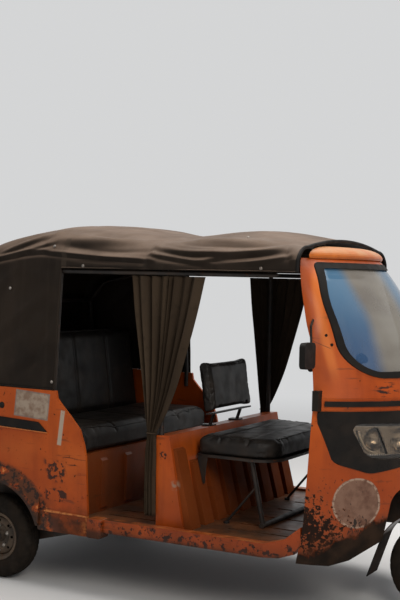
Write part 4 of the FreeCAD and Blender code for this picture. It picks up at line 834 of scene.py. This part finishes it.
# Rows of the sheet over the quarter panels and over the roof ahead of them, then the tail's rings
QUARTER_ROWS = 56
ROOF_ROWS = 104
SHEET_SKIN = 0.0035
SHEET_THICKNESS = 0.0022
BODY_MIDDLE_Z = 1.2
WINDOW_MIDDLE_Z = 1.185
TAIL_STEPS = 24
TAIL_RINGS = 9


def window_edge(middle, place):
    """Where the line from the window's middle to a place crosses the window's outline."""
    ray = place - middle
    best = math.inf
    for (y0, z0), (y1, z1) in WINDOW_SIDES:
        ey, ez = y1 - y0, z1 - z0
        den = ray.y * ez - ray.z * ey
        if abs(den) > 1e-9:
            t = ((y0 - middle.y) * ez - (z0 - middle.z) * ey) / den
            u = ((y0 - middle.y) * ray.z - (z0 - middle.z) * ray.y) / den
            if t > 0 and -1e-6 <= u <= 1 + 1e-6:
                best = min(best, t)
    return middle + ray * best


def make_canopy():
    rear, front = CANOPY[0][0], CANOPY[-1][0]
    places = list(np.linspace(rear, QUARTER_X, QUARTER_ROWS)) + list(np.linspace(QUARTER_X, front, ROOF_ROWS))
    places = sorted({round(x, 4) for x in places})
    profiles = [canopy_profile(x, SHEET_SKIN) for x in places]
    columns = len(profiles[0])
    grid = np.array([[(x, y, z) for y, z in profile] for x, profile in zip(places, profiles)])
    normals = np.cross(np.gradient(grid, axis=1), np.gradient(grid, axis=0))
    normals /= np.linalg.norm(normals, axis=2, keepdims=True) + 1e-9
    outward = grid.copy()
    outward[:, :, 0] = 0.0
    outward[:, :, 2] -= BODY_MIDDLE_Z
    flip = np.sign((normals * outward).sum(axis=2, keepdims=True))
    normals *= np.where(flip == 0, 1, flip)
    for row, out in zip(grid, normals):
        for j in range(columns):
            x, y, z = row[j]
            calm = min(1.0, (x - rear) / 0.03 + 0.05) * min(1.0, (front - x) / 0.04 + 0.1)
            row[j] += out[j] * canopy_relief(x, y, z) * calm
    verts = [at(*spot) for row in grid for spot in row]
    first_front = places.index(round(QUARTER_X, 4))

    def keep(i, j):
        on_side = j < SIDE_STEPS or j >= columns - 1 - SIDE_STEPS
        return not (on_side and i >= first_front)

    faces = grid_faces(len(places), columns, keep)
    # The tail: rings from the first section in to the window's outline
    outer = [Vector(v) for v in verts[:columns]]
    outer += [outer[-1].lerp(outer[0], k / TAIL_STEPS) for k in range(1, TAIL_STEPS)]
    middle = Vector(at(rear, 0.0, WINDOW_MIDDLE_Z))
    loop = [window_edge(middle, p) for p in outer]
    rings = [list(range(columns)) + list(range(len(verts), len(verts) + TAIL_STEPS - 1))]
    verts += [tuple(p) for p in outer[columns:]]
    for r in range(1, TAIL_RINGS + 1):
        share = r / TAIL_RINGS
        rings.append(range(len(verts), len(verts) + len(outer)))
        for p, q in zip(outer, loop):
            spot = p.lerp(q, share)
            spot.x += 0.0030 * math.sin(math.pi * share) * noise.noise(Vector((spot.y * 5, spot.z * 5, 1.0)))
            verts.append(tuple(spot))
    for ring, inner in zip(rings, rings[1:]):
        for k in range(len(outer)):
            after = (k + 1) % len(outer)
            faces.append((ring[k], inner[k], inner[after], ring[after]))
    used = sorted({v for f in faces for v in f})
    renumber = {v: k for k, v in enumerate(used)}
    faces = [tuple(renumber[v] for v in f) for f in faces]
    roof = piece_from("canopy_sheet", [verts[v] for v in used], faces, "canvas")
    face_outward(roof)
    solid = roof.modifiers.new("thickness", "SOLIDIFY")
    solid.thickness = SHEET_THICKNESS
    solid.offset = 0.0
    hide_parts("canopy")
    return roof


# The upright hem behind the doorway leans in from this half width
QUARTER_HEM_Y = 0.6435
QUARTER_LEAN = 0.072
WINDOW_HEM_X = -0.3735
BINDING_RADIUS = 0.0080
CORD_RADIUS = 0.0032


def canopy_edges():
    """Front binding, hems and piping of the canopy."""
    front = CANOPY[-1][0] - 0.004
    run = [at(front, y, z) for y, z in canopy_profile(front, 0.004) if z >= ROOF_EDGE_Z]
    binding = tube_piece("canopy_front_binding", [run], BINDING_RADIUS, "seal")
    hems = []
    lower = []
    for side in (1, -1):
        edge = []
        for x in np.linspace(QUARTER_X, front, 30):
            wb, ws, zs = smooth_rows(CANOPY, float(x))[:3]
            y = wb + (ws - wb) * (ROOF_EDGE_Z - CANOPY_HEM_Z) / (zs - CANOPY_HEM_Z) - SHEET_SKIN
            edge.append(at(float(x), side * y, ROOF_EDGE_Z + 0.002))
        hems.append(edge)
        hems.append([at(QUARTER_X - 0.002, side * (QUARTER_HEM_Y - (z - 0.935) * QUARTER_LEAN), float(z))
                     for z in np.linspace(CANOPY_HEM_Z + 0.004, ROOF_EDGE_Z - 0.01, 20)])
        lower.append([at(float(x), side * (0.6445 if x > -0.3 else 0.6405), CANOPY_HEM_Z + 0.004)
                      for x in np.linspace(-0.366, QUARTER_X - 0.004, 30)])
    hem = tube_piece("canopy_hems", hems, CORD_RADIUS, "canvas")
    strip = tube_piece("canopy_lower_hem", lower, 0.0040, "seal")
    loop = [at(WINDOW_HEM_X, y0 + (y1 - y0) * t, z0 + (z1 - z0) * t)
            for (y0, z0), (y1, z1) in WINDOW_SIDES for t in np.linspace(0.04, 0.96, 12)]
    window = tube_piece("rear_window_binding", [loop], 0.0045, "seal", closed=True)
    return [binding, hem, strip, window]


# Snap fasteners on both sides of the canopy: place, height
SNAPS = [(0.290, 1.611), (0.470, 1.520), (0.051, 1.407), (1.235, 1.660), (1.368, 1.522), (0.33, 0.975)]


def canopy_snaps():
    places = []
    for x, z in SNAPS:
        right = [p for p in canopy_profile(x) if p[0] < 0]
        y = min(right, key=lambda p: abs(p[1] - z))[0]
        tilt = max(0.0, (z - 1.52) * 5.0)
        places += [(at(x, side * -y, z), (0.0, side, tilt)) for side in (1, -1)]
    return heads("canopy_snaps", places, 0.0055, 0.0035, "steel", sides=12, washer=1.45, domed=True)


roof = make_canopy()
edges = canopy_edges()
snaps = canopy_snaps()

# Curtains gathered at the door posts.
# Rows from the hem up: height, rear end, front end, fold depth
CURTAIN = [
    (0.404, 0.817, 0.868, 0.0130),
    (0.560, 0.816, 0.864, 0.0130),
    (0.700, 0.818, 0.866, 0.0120),
    (0.768, 0.824, 0.864, 0.0090),
    (0.830, 0.818, 0.896, 0.0140),
    (0.960, 0.803, 0.952, 0.0165),
    (1.150, 0.778, 1.010, 0.0170),
    (1.330, 0.752, 1.060, 0.0170),
    (1.480, 0.735, 1.095, 0.0165),
]
CURTAIN_FOLDS = 8
CURTAIN_ROWS = 90
CURTAIN_COLUMNS = CURTAIN_FOLDS * 20 + 1
CURTAIN_Y = 0.580
CURTAIN_THICKNESS = 0.0009
TIE_Z = 0.772
TIE = [(0.822, 0.570), (0.844, 0.5675), (0.866, 0.570), (0.869, 0.580),
       (0.866, 0.590), (0.844, 0.5925), (0.822, 0.590), (0.819, 0.580)]


def make_curtain(name, side):
    low, high = CURTAIN[0][0], CURTAIN[-1][0]
    verts = []
    for i in range(CURTAIN_ROWS):
        z = low + (high - low) * i / (CURTAIN_ROWS - 1)
        rear, front, depth = smooth_rows(CURTAIN, z)
        for j in range(CURTAIN_COLUMNS):
            u = j / (CURTAIN_COLUMNS - 1)
            drift = 0.030 * noise.noise(Vector((u * 3.0, z * 1.5, side * 2.0)))
            uneven = 0.038 * math.sin(2 * math.pi * 1.5 * u + 1.0) + 0.016 * math.sin(2 * math.pi * 3.7 * u)
            phase = 2 * math.pi * CURTAIN_FOLDS * (u + drift + uneven)
            lean = 0.3 * math.sin(phase * 2.0)
            swell = 0.95 + 0.45 * noise.noise(Vector((u * 7.0, z * 0.8, 3.0 + side)))
            x = rear + (front - rear) * u + lean * (front - rear) / CURTAIN_FOLDS * 0.25
            y = CURTAIN_Y + depth * swell * math.sin(phase)
            drop = 0.006 * math.sin(phase * 0.5) if i == 0 else 0.0
            verts.append(at(x, side * y, z + drop))
    made = piece_from(name, verts, grid_faces(CURTAIN_ROWS, CURTAIN_COLUMNS), "curtain")
    made.modifiers.new("thickness", "SOLIDIFY").thickness = CURTAIN_THICKNESS
    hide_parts("curtains")
    round_it = [at(x, side * y, TIE_Z) for x, y in TIE]
    tie = tube_piece(name + "_tie", [round_it], CORD_RADIUS, "curtain", closed=True)


make_curtain("curtain_left", 1)
make_curtain("curtain_right", -1)

# Cushions: the CAD solid is copied, remeshed and blown up a little as cloth
SHRINK = 0.006
BLOW_FRAMES = 20
CLOTH = {"use_pressure": True, "uniform_pressure_force": 4.0, "quality": 4, "tension_stiffness": 12,
         "compression_stiffness": 12, "bending_stiffness": 0.4}


def coordinates(mesh):
    flat = np.zeros(len(mesh.vertices) * 3)
    mesh.vertices.foreach_get("co", flat)
    return flat.reshape(-1, 3)


def evaluated(made):
    return made.evaluated_get(bpy.context.evaluated_depsgraph_get())


def blow_up(made, cap):
    """Inflate a cushion as cloth; no point moves further than cap."""
    before = coordinates(made.data)
    cloth = made.modifiers.new("cloth", "CLOTH")
    for key, value in CLOTH.items():
        setattr(cloth.settings, key, value)
    cloth.settings.effector_weights.gravity = 0.0
    cloth.collision_settings.use_collision = False
    cloth.point_cache.frame_start = 1
    cloth.point_cache.frame_end = BLOW_FRAMES
    for frame_number in range(1, BLOW_FRAMES + 1):
        bpy.context.scene.frame_set(frame_number)
    blown = evaluated(made)
    move = coordinates(blown.to_mesh()) - before
    blown.to_mesh_clear()
    made.modifiers.clear()
    bpy.context.scene.frame_set(1)
    length = np.linalg.norm(move, axis=1, keepdims=True)
    move *= np.minimum(1.0, cap / np.maximum(length, 1e-9))
    made.data.vertices.foreach_set("co", (before + move).ravel())
    made.data.update()


def cushion(node, voxel, cap):
    name = node + "_pad"
    mesh = NODES[node].data.copy()
    mesh.name = name
    made = placed(name, mesh)
    middle = sum((Vector(c) for c in made.bound_box), Vector()) / 8
    factor = [max(0.5, 1 - 2 * SHRINK / s) for s in made.dimensions]
    for v in mesh.vertices:
        v.co = Vector([m + (c - m) * f for c, m, f in zip(v.co, middle, factor)])
    bpy.context.view_layer.objects.active = made
    remesh = made.modifiers.new("remesh", "REMESH")
    remesh.mode = "VOXEL"
    remesh.voxel_size = voxel
    fine = bpy.data.meshes.new_from_object(evaluated(made))
    made.modifiers.clear()
    made.data = fine
    blow_up(made, cap)
    made.data.materials.clear()
    made.data.materials.append(LOOKS["vinyl"][0])
    made.data.shade_smooth()
    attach(made, "chassis")
    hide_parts(node)
    return made


def clamp_base(made, height):
    """Rest the cushion flat on what carries it."""
    for v in made.data.vertices:
        v.co.z = max(v.co.z, height)


def groove(made, axis, place, depth, width, facing):
    """Sewn channel across an axis at a place: vertices that face that way are drawn in along their normal."""
    mesh = made.data
    normals = [v.normal.copy() for v in mesh.vertices]
    for v, n in zip(mesh.vertices, normals):
        d = (v.co[axis] - place) / width
        if n.dot(Vector(facing)) > 0.2 and abs(d) < 3:
            v.co -= n * depth * math.exp(-d * d)


def ridge_run(made, direction, places, axis, reach):
    """Points of the mesh furthest along direction near each place on the axis: where piping is sewn."""
    coords = coordinates(made.data)
    score = coords @ np.array(direction)
    points = []
    for p in places:
        near = np.abs(coords[:, axis] - p) < reach
        if near.any():
            spot = coords[np.argmax(np.where(near, score, -1e9))].copy()
            spot[axis] = p
            points.append(tuple(spot))
    return points


# Heights of the plates that the seat pads rest on
DRIVER_PLATE_Z = 0.6662
SEAT_BOX_Z = 0.6406

# Voxel size and most that it swells
driver_seat = cushion("driver_seat", 0.0060, 0.016)
clamp_base(driver_seat, DRIVER_PLATE_Z)
driver_back = cushion("driver_backrest", 0.0050, 0.010)
bench = cushion("passenger_seat", 0.0080, 0.018)
clamp_base(bench, SEAT_BOX_Z)
bench_back = cushion("passenger_backrest", 0.0080, 0.014)
for x in (1.22, 1.08):
    groove(driver_seat, 0, x + REAR_AXLE, 0.006, 0.006, (0, 0, 1))
for y in (-0.30, 0.0, 0.30):
    groove(bench, 1, y, 0.007, 0.007, (0, 0, 1))
    groove(bench_back, 1, y, 0.008, 0.007, (1, 0, 0.1))
for made in (driver_seat, driver_back, bench, bench_back):
    finish = made.modifiers.new("finish", "SUBSURF")
    finish.levels = 1
    finish.render_levels = 1
seat_run = np.linspace(0.99, 1.25, 26) + REAR_AXLE
pipes = [
    ridge_run(driver_seat, (1.0, 0, 1.1), np.linspace(-0.270, 0.270, 34), 1, 0.006),
    ridge_run(driver_seat, (0, -1.0, 1.1), seat_run, 0, 0.006),
    ridge_run(driver_seat, (0, 1.0, 1.1), seat_run, 0, 0.006),
    ridge_run(bench, (1.0, 0, 1.1), np.linspace(-0.57, 0.57, 50), 1, 0.008),
    ridge_run(bench_back, (0.6, 0, 1.1), np.linspace(-0.56, 0.56, 50), 1, 0.008),
    ridge_run(driver_back, (0.7, 0, 1.1), np.linspace(-0.19, 0.19, 24), 1, 0.006),
]
tube_piece("seat_piping", pipes, CORD_RADIUS, "vinyl")

# Tyres with a worn road tread.
# Profile from the inner bead over the tread to its middle: place across, radius
TYRE_PROFILE = [
    (0.0336, 0.1060), (0.0345, 0.1120), (0.0356, 0.1172), (0.0400, 0.1180), (0.0440, 0.1235),
    (0.0462, 0.1300), (0.0472, 0.1318), (0.0480, 0.1340), (0.0492, 0.1450), (0.0498, 0.1550),
    (0.0490, 0.1660), (0.0470, 0.1760), (0.0458, 0.1800), (0.0452, 0.1835), (0.0430, 0.1880),
    (0.0398, 0.1930), (0.0365, 0.1958), (0.0330, 0.1972), (0.0300, 0.1983), (0.0265, 0.1992),
    (0.0225, 0.2004), (0.0185, 0.2012), (0.0150, 0.2018), (0.0110, 0.2023), (0.0075, 0.2026),
    (0.0040, 0.2028), (0.0, 0.2029),
]
TREAD_PITCH = 5
TREAD_TURNS = 180
GROOVE_DEPTH = 0.0045
GROOVE_HALF = 0.0032
GROOVE_LINES = (-0.0205, 0.0, 0.0205)
ZIGZAG = 0.0030
TREAD_RADIUS = 0.190
SHOULDER = (0.1800, 0.1935)
SHOULDER_CUT = 0.0025


def tread_depth(y, k):
    """How deep the tread is cut at a place across and a step round the tyre."""
    zigzag = ZIGZAG * (abs((k % 10) - 5) / 2.5 - 1.0)
    depth = 0.0
    for line in GROOVE_LINES:
        off = abs(y - line - (zigzag if line == 0.0 else -zigzag))
        if off < GROOVE_HALF:
            depth = GROOVE_DEPTH * (1 - (off / GROOVE_HALF) ** 4)
    if abs(y) > 0.0265 and k % TREAD_PITCH == 0:
        depth = max(depth, GROOVE_DEPTH * 0.9)
    if 0.006 < abs(y) < 0.016 and (k + 2) % TREAD_PITCH == 0:
        depth = max(depth, GROOVE_DEPTH * 0.45)
    return depth


def make_tyre(node, body, x, y):
    profile = [(-a, r) for a, r in TYRE_PROFILE] + [(a, r) for a, r in reversed(TYRE_PROFILE[:-1])]
    fine = []
    for (a0, r0), (a1, r1) in zip(profile, profile[1:]):
        steps = 2 if min(r0, r1) > 0.195 else 1
        fine += [(a0 + (a1 - a0) * s / steps, r0 + (r1 - r0) * s / steps) for s in range(steps)]
    fine.append(profile[-1])
    count = len(fine)
    verts = []
    faces = []
    for k in range(TREAD_TURNS):
        angle = 2 * math.pi * k / TREAD_TURNS
        following = (k + 1) % TREAD_TURNS
        for j, (a, r) in enumerate(fine):
            cut = tread_depth(a, k) if r > TREAD_RADIUS else 0.0
            if SHOULDER[0] < r < SHOULDER[1] and k % TREAD_PITCH == 0:
                cut = SHOULDER_CUT
            verts.append(at(x + (r - cut) * math.cos(angle), y + a, WHEEL_Z + (r - cut) * math.sin(angle)))
            j2 = (j + 1) % count
            faces.append((k * count + j, k * count + j2, following * count + j2, following * count + j))
    made = piece_from(node + "_tread", verts, faces, "tyre", body)
    face_outward(made)
    made.data.set_sharp_from_angle(angle=math.radians(50))
    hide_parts(node)


# Wheels: tyre node, body, place along, place across, outboard side
WHEELS = [
    ("front_tyre", "front_wheel", WHEELBASE, 0.0, -1),
    ("rear_left_tyre", "rear_left_wheel", 0.0, REAR_WHEEL_Y, 1),
    ("rear_right_tyre", "rear_right_wheel", 0.0, -REAR_WHEEL_Y, -1),
]
NUT_COUNT = 5
NUT_CIRCLE = 0.053
NUT_SEAT = 0.0245
VALVE_TURN = 0.6
# Ends of the valve: distance from the axle, outboard of the wheel's middle plane
VALVE_FOOT = (0.092, 0.014)
VALVE_TIP = (0.082, 0.036)


def fit_wheel(node, body, x, y, side):
    """Tyre, nuts and valve of a wheel."""
    make_tyre(node, body, x, y)

    def on_disc(reach, out, angle):
        return at(x + reach * math.cos(angle), y + side * out, WHEEL_Z + reach * math.sin(angle))

    turns = [2 * math.pi * (k + 0.25) / NUT_COUNT for k in range(NUT_COUNT)]
    nuts = [(on_disc(NUT_CIRCLE, NUT_SEAT, a), (0, side, 0)) for a in turns]
    heads(body + "_nuts", nuts, 0.0075, 0.009, "steel", body, washer=1.35)
    foot = on_disc(*VALVE_FOOT, VALVE_TURN)
    tip = on_disc(*VALVE_TIP, VALVE_TURN)
    mid = tuple((a + b) / 2 for a, b in zip(foot, tip))
    tube_piece(body + "_valve", [[foot, mid, tip]], 0.0026, "grip", body)


for wheel in WHEELS:
    fit_wheel(*wheel)

# Trims and fastenings
SIDES = (("right", -1), ("left", 1))
STRIP = [(-0.285, 0.806), (0.264, 0.782), (0.315, 0.739), (-0.285, 0.757)]
STRIP_BACK_Y = 0.6504
STRIP_FACE_Y = 0.6545
STRIP_LIP = [(-0.285, 0.7525), (0.0, 0.7440), (0.318, 0.7345)]
STRIP_LIP_Y = 0.6530
for name, side in SIDES:
    plate("side_strip_" + name, STRIP, side * STRIP_BACK_Y, side * STRIP_FACE_Y, "trim")
for name, side in SIDES:
    lip = [at(x, side * STRIP_LIP_Y, z) for x, z in STRIP_LIP]
    tube_piece("side_strip_lip_" + name, [lip], 0.0028, "visor")
caps = [(at(0.043, side * 0.6502, 0.846), (0, side, 0)) for _, side in SIDES]
heads("side_caps", caps, 0.0125, 0.006, "trim", sides=16, washer=1.3, domed=True)
# Screws of each side: along, across, up
SCREWS = [(0.505, BODY_SIDE, 0.560), (0.520, BODY_SIDE, 0.455)]
SCREWS += [(x, 0.6410, 0.334) for x in (0.66, 0.86, 1.06, 1.26, 1.40)]
SCREWS += [(x, BODY_SIDE, 0.345) for x in (0.30, 0.40, 0.50)]
screws = [(at(x, side * y, z), (0, side, 0)) for _, side in SIDES for x, y, z in SCREWS]
heads("panel_screws", screws, 0.0042, 0.0026, "sill", sides=12, washer=1.5, domed=True)

# Dark backs of the two bracket holes in the right-hand pillar
PILLAR_FACING = (0.27, -0.96, 0)
holes = [(at(1.650, -0.511, 1.246), PILLAR_FACING), (at(1.674, -0.504, 1.207), PILLAR_FACING)]
heads("pillar_hole_backs", holes, 0.0064, 0.0010, "seal", sides=16, washer=0)

# Lamp fittings: a dark divider between the twin bowls and a pale rim round the reflector, a painted highlight
# that stands for its glint
LAMP_DIVIDER = [(1.838, -0.388, 0.858), (1.850, -0.375, 0.820), (1.862, -0.360, 0.780),
                (1.870, -0.350, 0.748)]
LAMP_RIM = [(1.779, -0.445, 0.846), (1.782, -0.441, 0.822), (1.793, -0.430, 0.790), (1.806, -0.417, 0.768),
            (1.822, -0.398, 0.754), (1.838, -0.381, 0.749)]
for name, side in SIDES:
    for part, run, radius, look in (("divider", LAMP_DIVIDER, 0.0062, "lamp_black"),
                                    ("rim", LAMP_RIM, 0.0050, "glint")):
        tube_piece(f"lamp_{part}_{name}", [[at(x, -side * y, z) for x, y, z in run]], radius, look)


# Plain pale studio
BACKDROP = (0.66, 0.665, 0.67)
SKY_LIGHT = (0.93, 0.96, 1.0)
SKY_STRENGTH = 0.30
STAGE_MIDDLE = (-REAR_AXLE, 0.0, 0.0)
STAGE_REACH = 60.0


def seen_directly(tree):
    """1 for what the camera, a reflection or a pane of glass looks at."""
    path = tree.nodes.new("ShaderNodeLightPath")
    camera, glossy, through = (Field(tree, path.outputs[f"Is {kind} Ray"])
                               for kind in ("Camera", "Glossy", "Transmission"))
    return camera.most(glossy).most(through)


def make_stage():
    floor = Surface("studio_floor", Specular_IOR_Level=0.2)
    floor.base = floor.mix(floor.spots(0.3, 0.7, 0.8, 2), (0.74, 0.735, 0.73), (0.70, 0.695, 0.69))
    tree = floor.tree
    far = floor.distance(STAGE_MIDDLE).step(2.6, 9.0) * seen_directly(tree)
    glow = worked(tree, "Emission", {"Color": BACKDROP})
    join = worked(tree, "MixShader", {0: far, 1: Field(tree, floor.shader.outputs[0]), 2: glow})
    plug(tree, tree.nodes["Material Output"].inputs["Surface"], join)
    mesh = bpy.data.meshes.new("studio_floor")
    signs = ((-1, -1), (1, -1), (1, 1), (-1, 1))
    mesh.from_pydata([(a * STAGE_REACH, b * STAGE_REACH, 0) for a, b in signs], [], [(0, 1, 2, 3)])
    mesh.materials.append(floor.finished(floor.noise(3, 2) * 0.1 + 0.75))
    placed("studio_floor", mesh)
    world = bpy.data.worlds.new("studio")
    bpy.context.scene.world = world
    world.use_nodes = True
    tree = world.node_tree
    sky = tree.nodes["Background"]
    seen = seen_directly(tree)
    tint = worked(tree, "Mix", {0: seen, 6: SKY_LIGHT, 7: BACKDROP}, 2, data_type="RGBA")
    plug(tree, sky.inputs["Color"], tint)
    plug(tree, sky.inputs["Strength"], seen * (1.0 - SKY_STRENGTH) + SKY_STRENGTH)


def soft_light(name, place, aim, side, watts, colour):
    """A square area light with this side, turned to its aim."""
    data = bpy.data.lights.new(name, "AREA")
    data.shape = "RECTANGLE"
    data.size = side
    data.size_y = side
    data.energy = watts
    data.color = colour
    lamp = placed(name, data)
    lamp.location = place
    lamp.rotation_mode = "QUATERNION"
    lamp.rotation_quaternion = (Vector(aim) - Vector(place)).to_track_quat("-Z", "Y")


make_camera()
make_stage()
soft_light("overhead", (0.2, 0.4, 5.2), (0.0, 0.0, 0.8), 5.0, 300.0, (1.0, 0.97, 0.93))
soft_light("key", (4.2, -4.0, 4.0), (0.4, 0.0, 0.8), 2.6, 150.0, (1.0, 0.95, 0.88))
bpy.context.scene.view_settings.view_transform = "Standard"
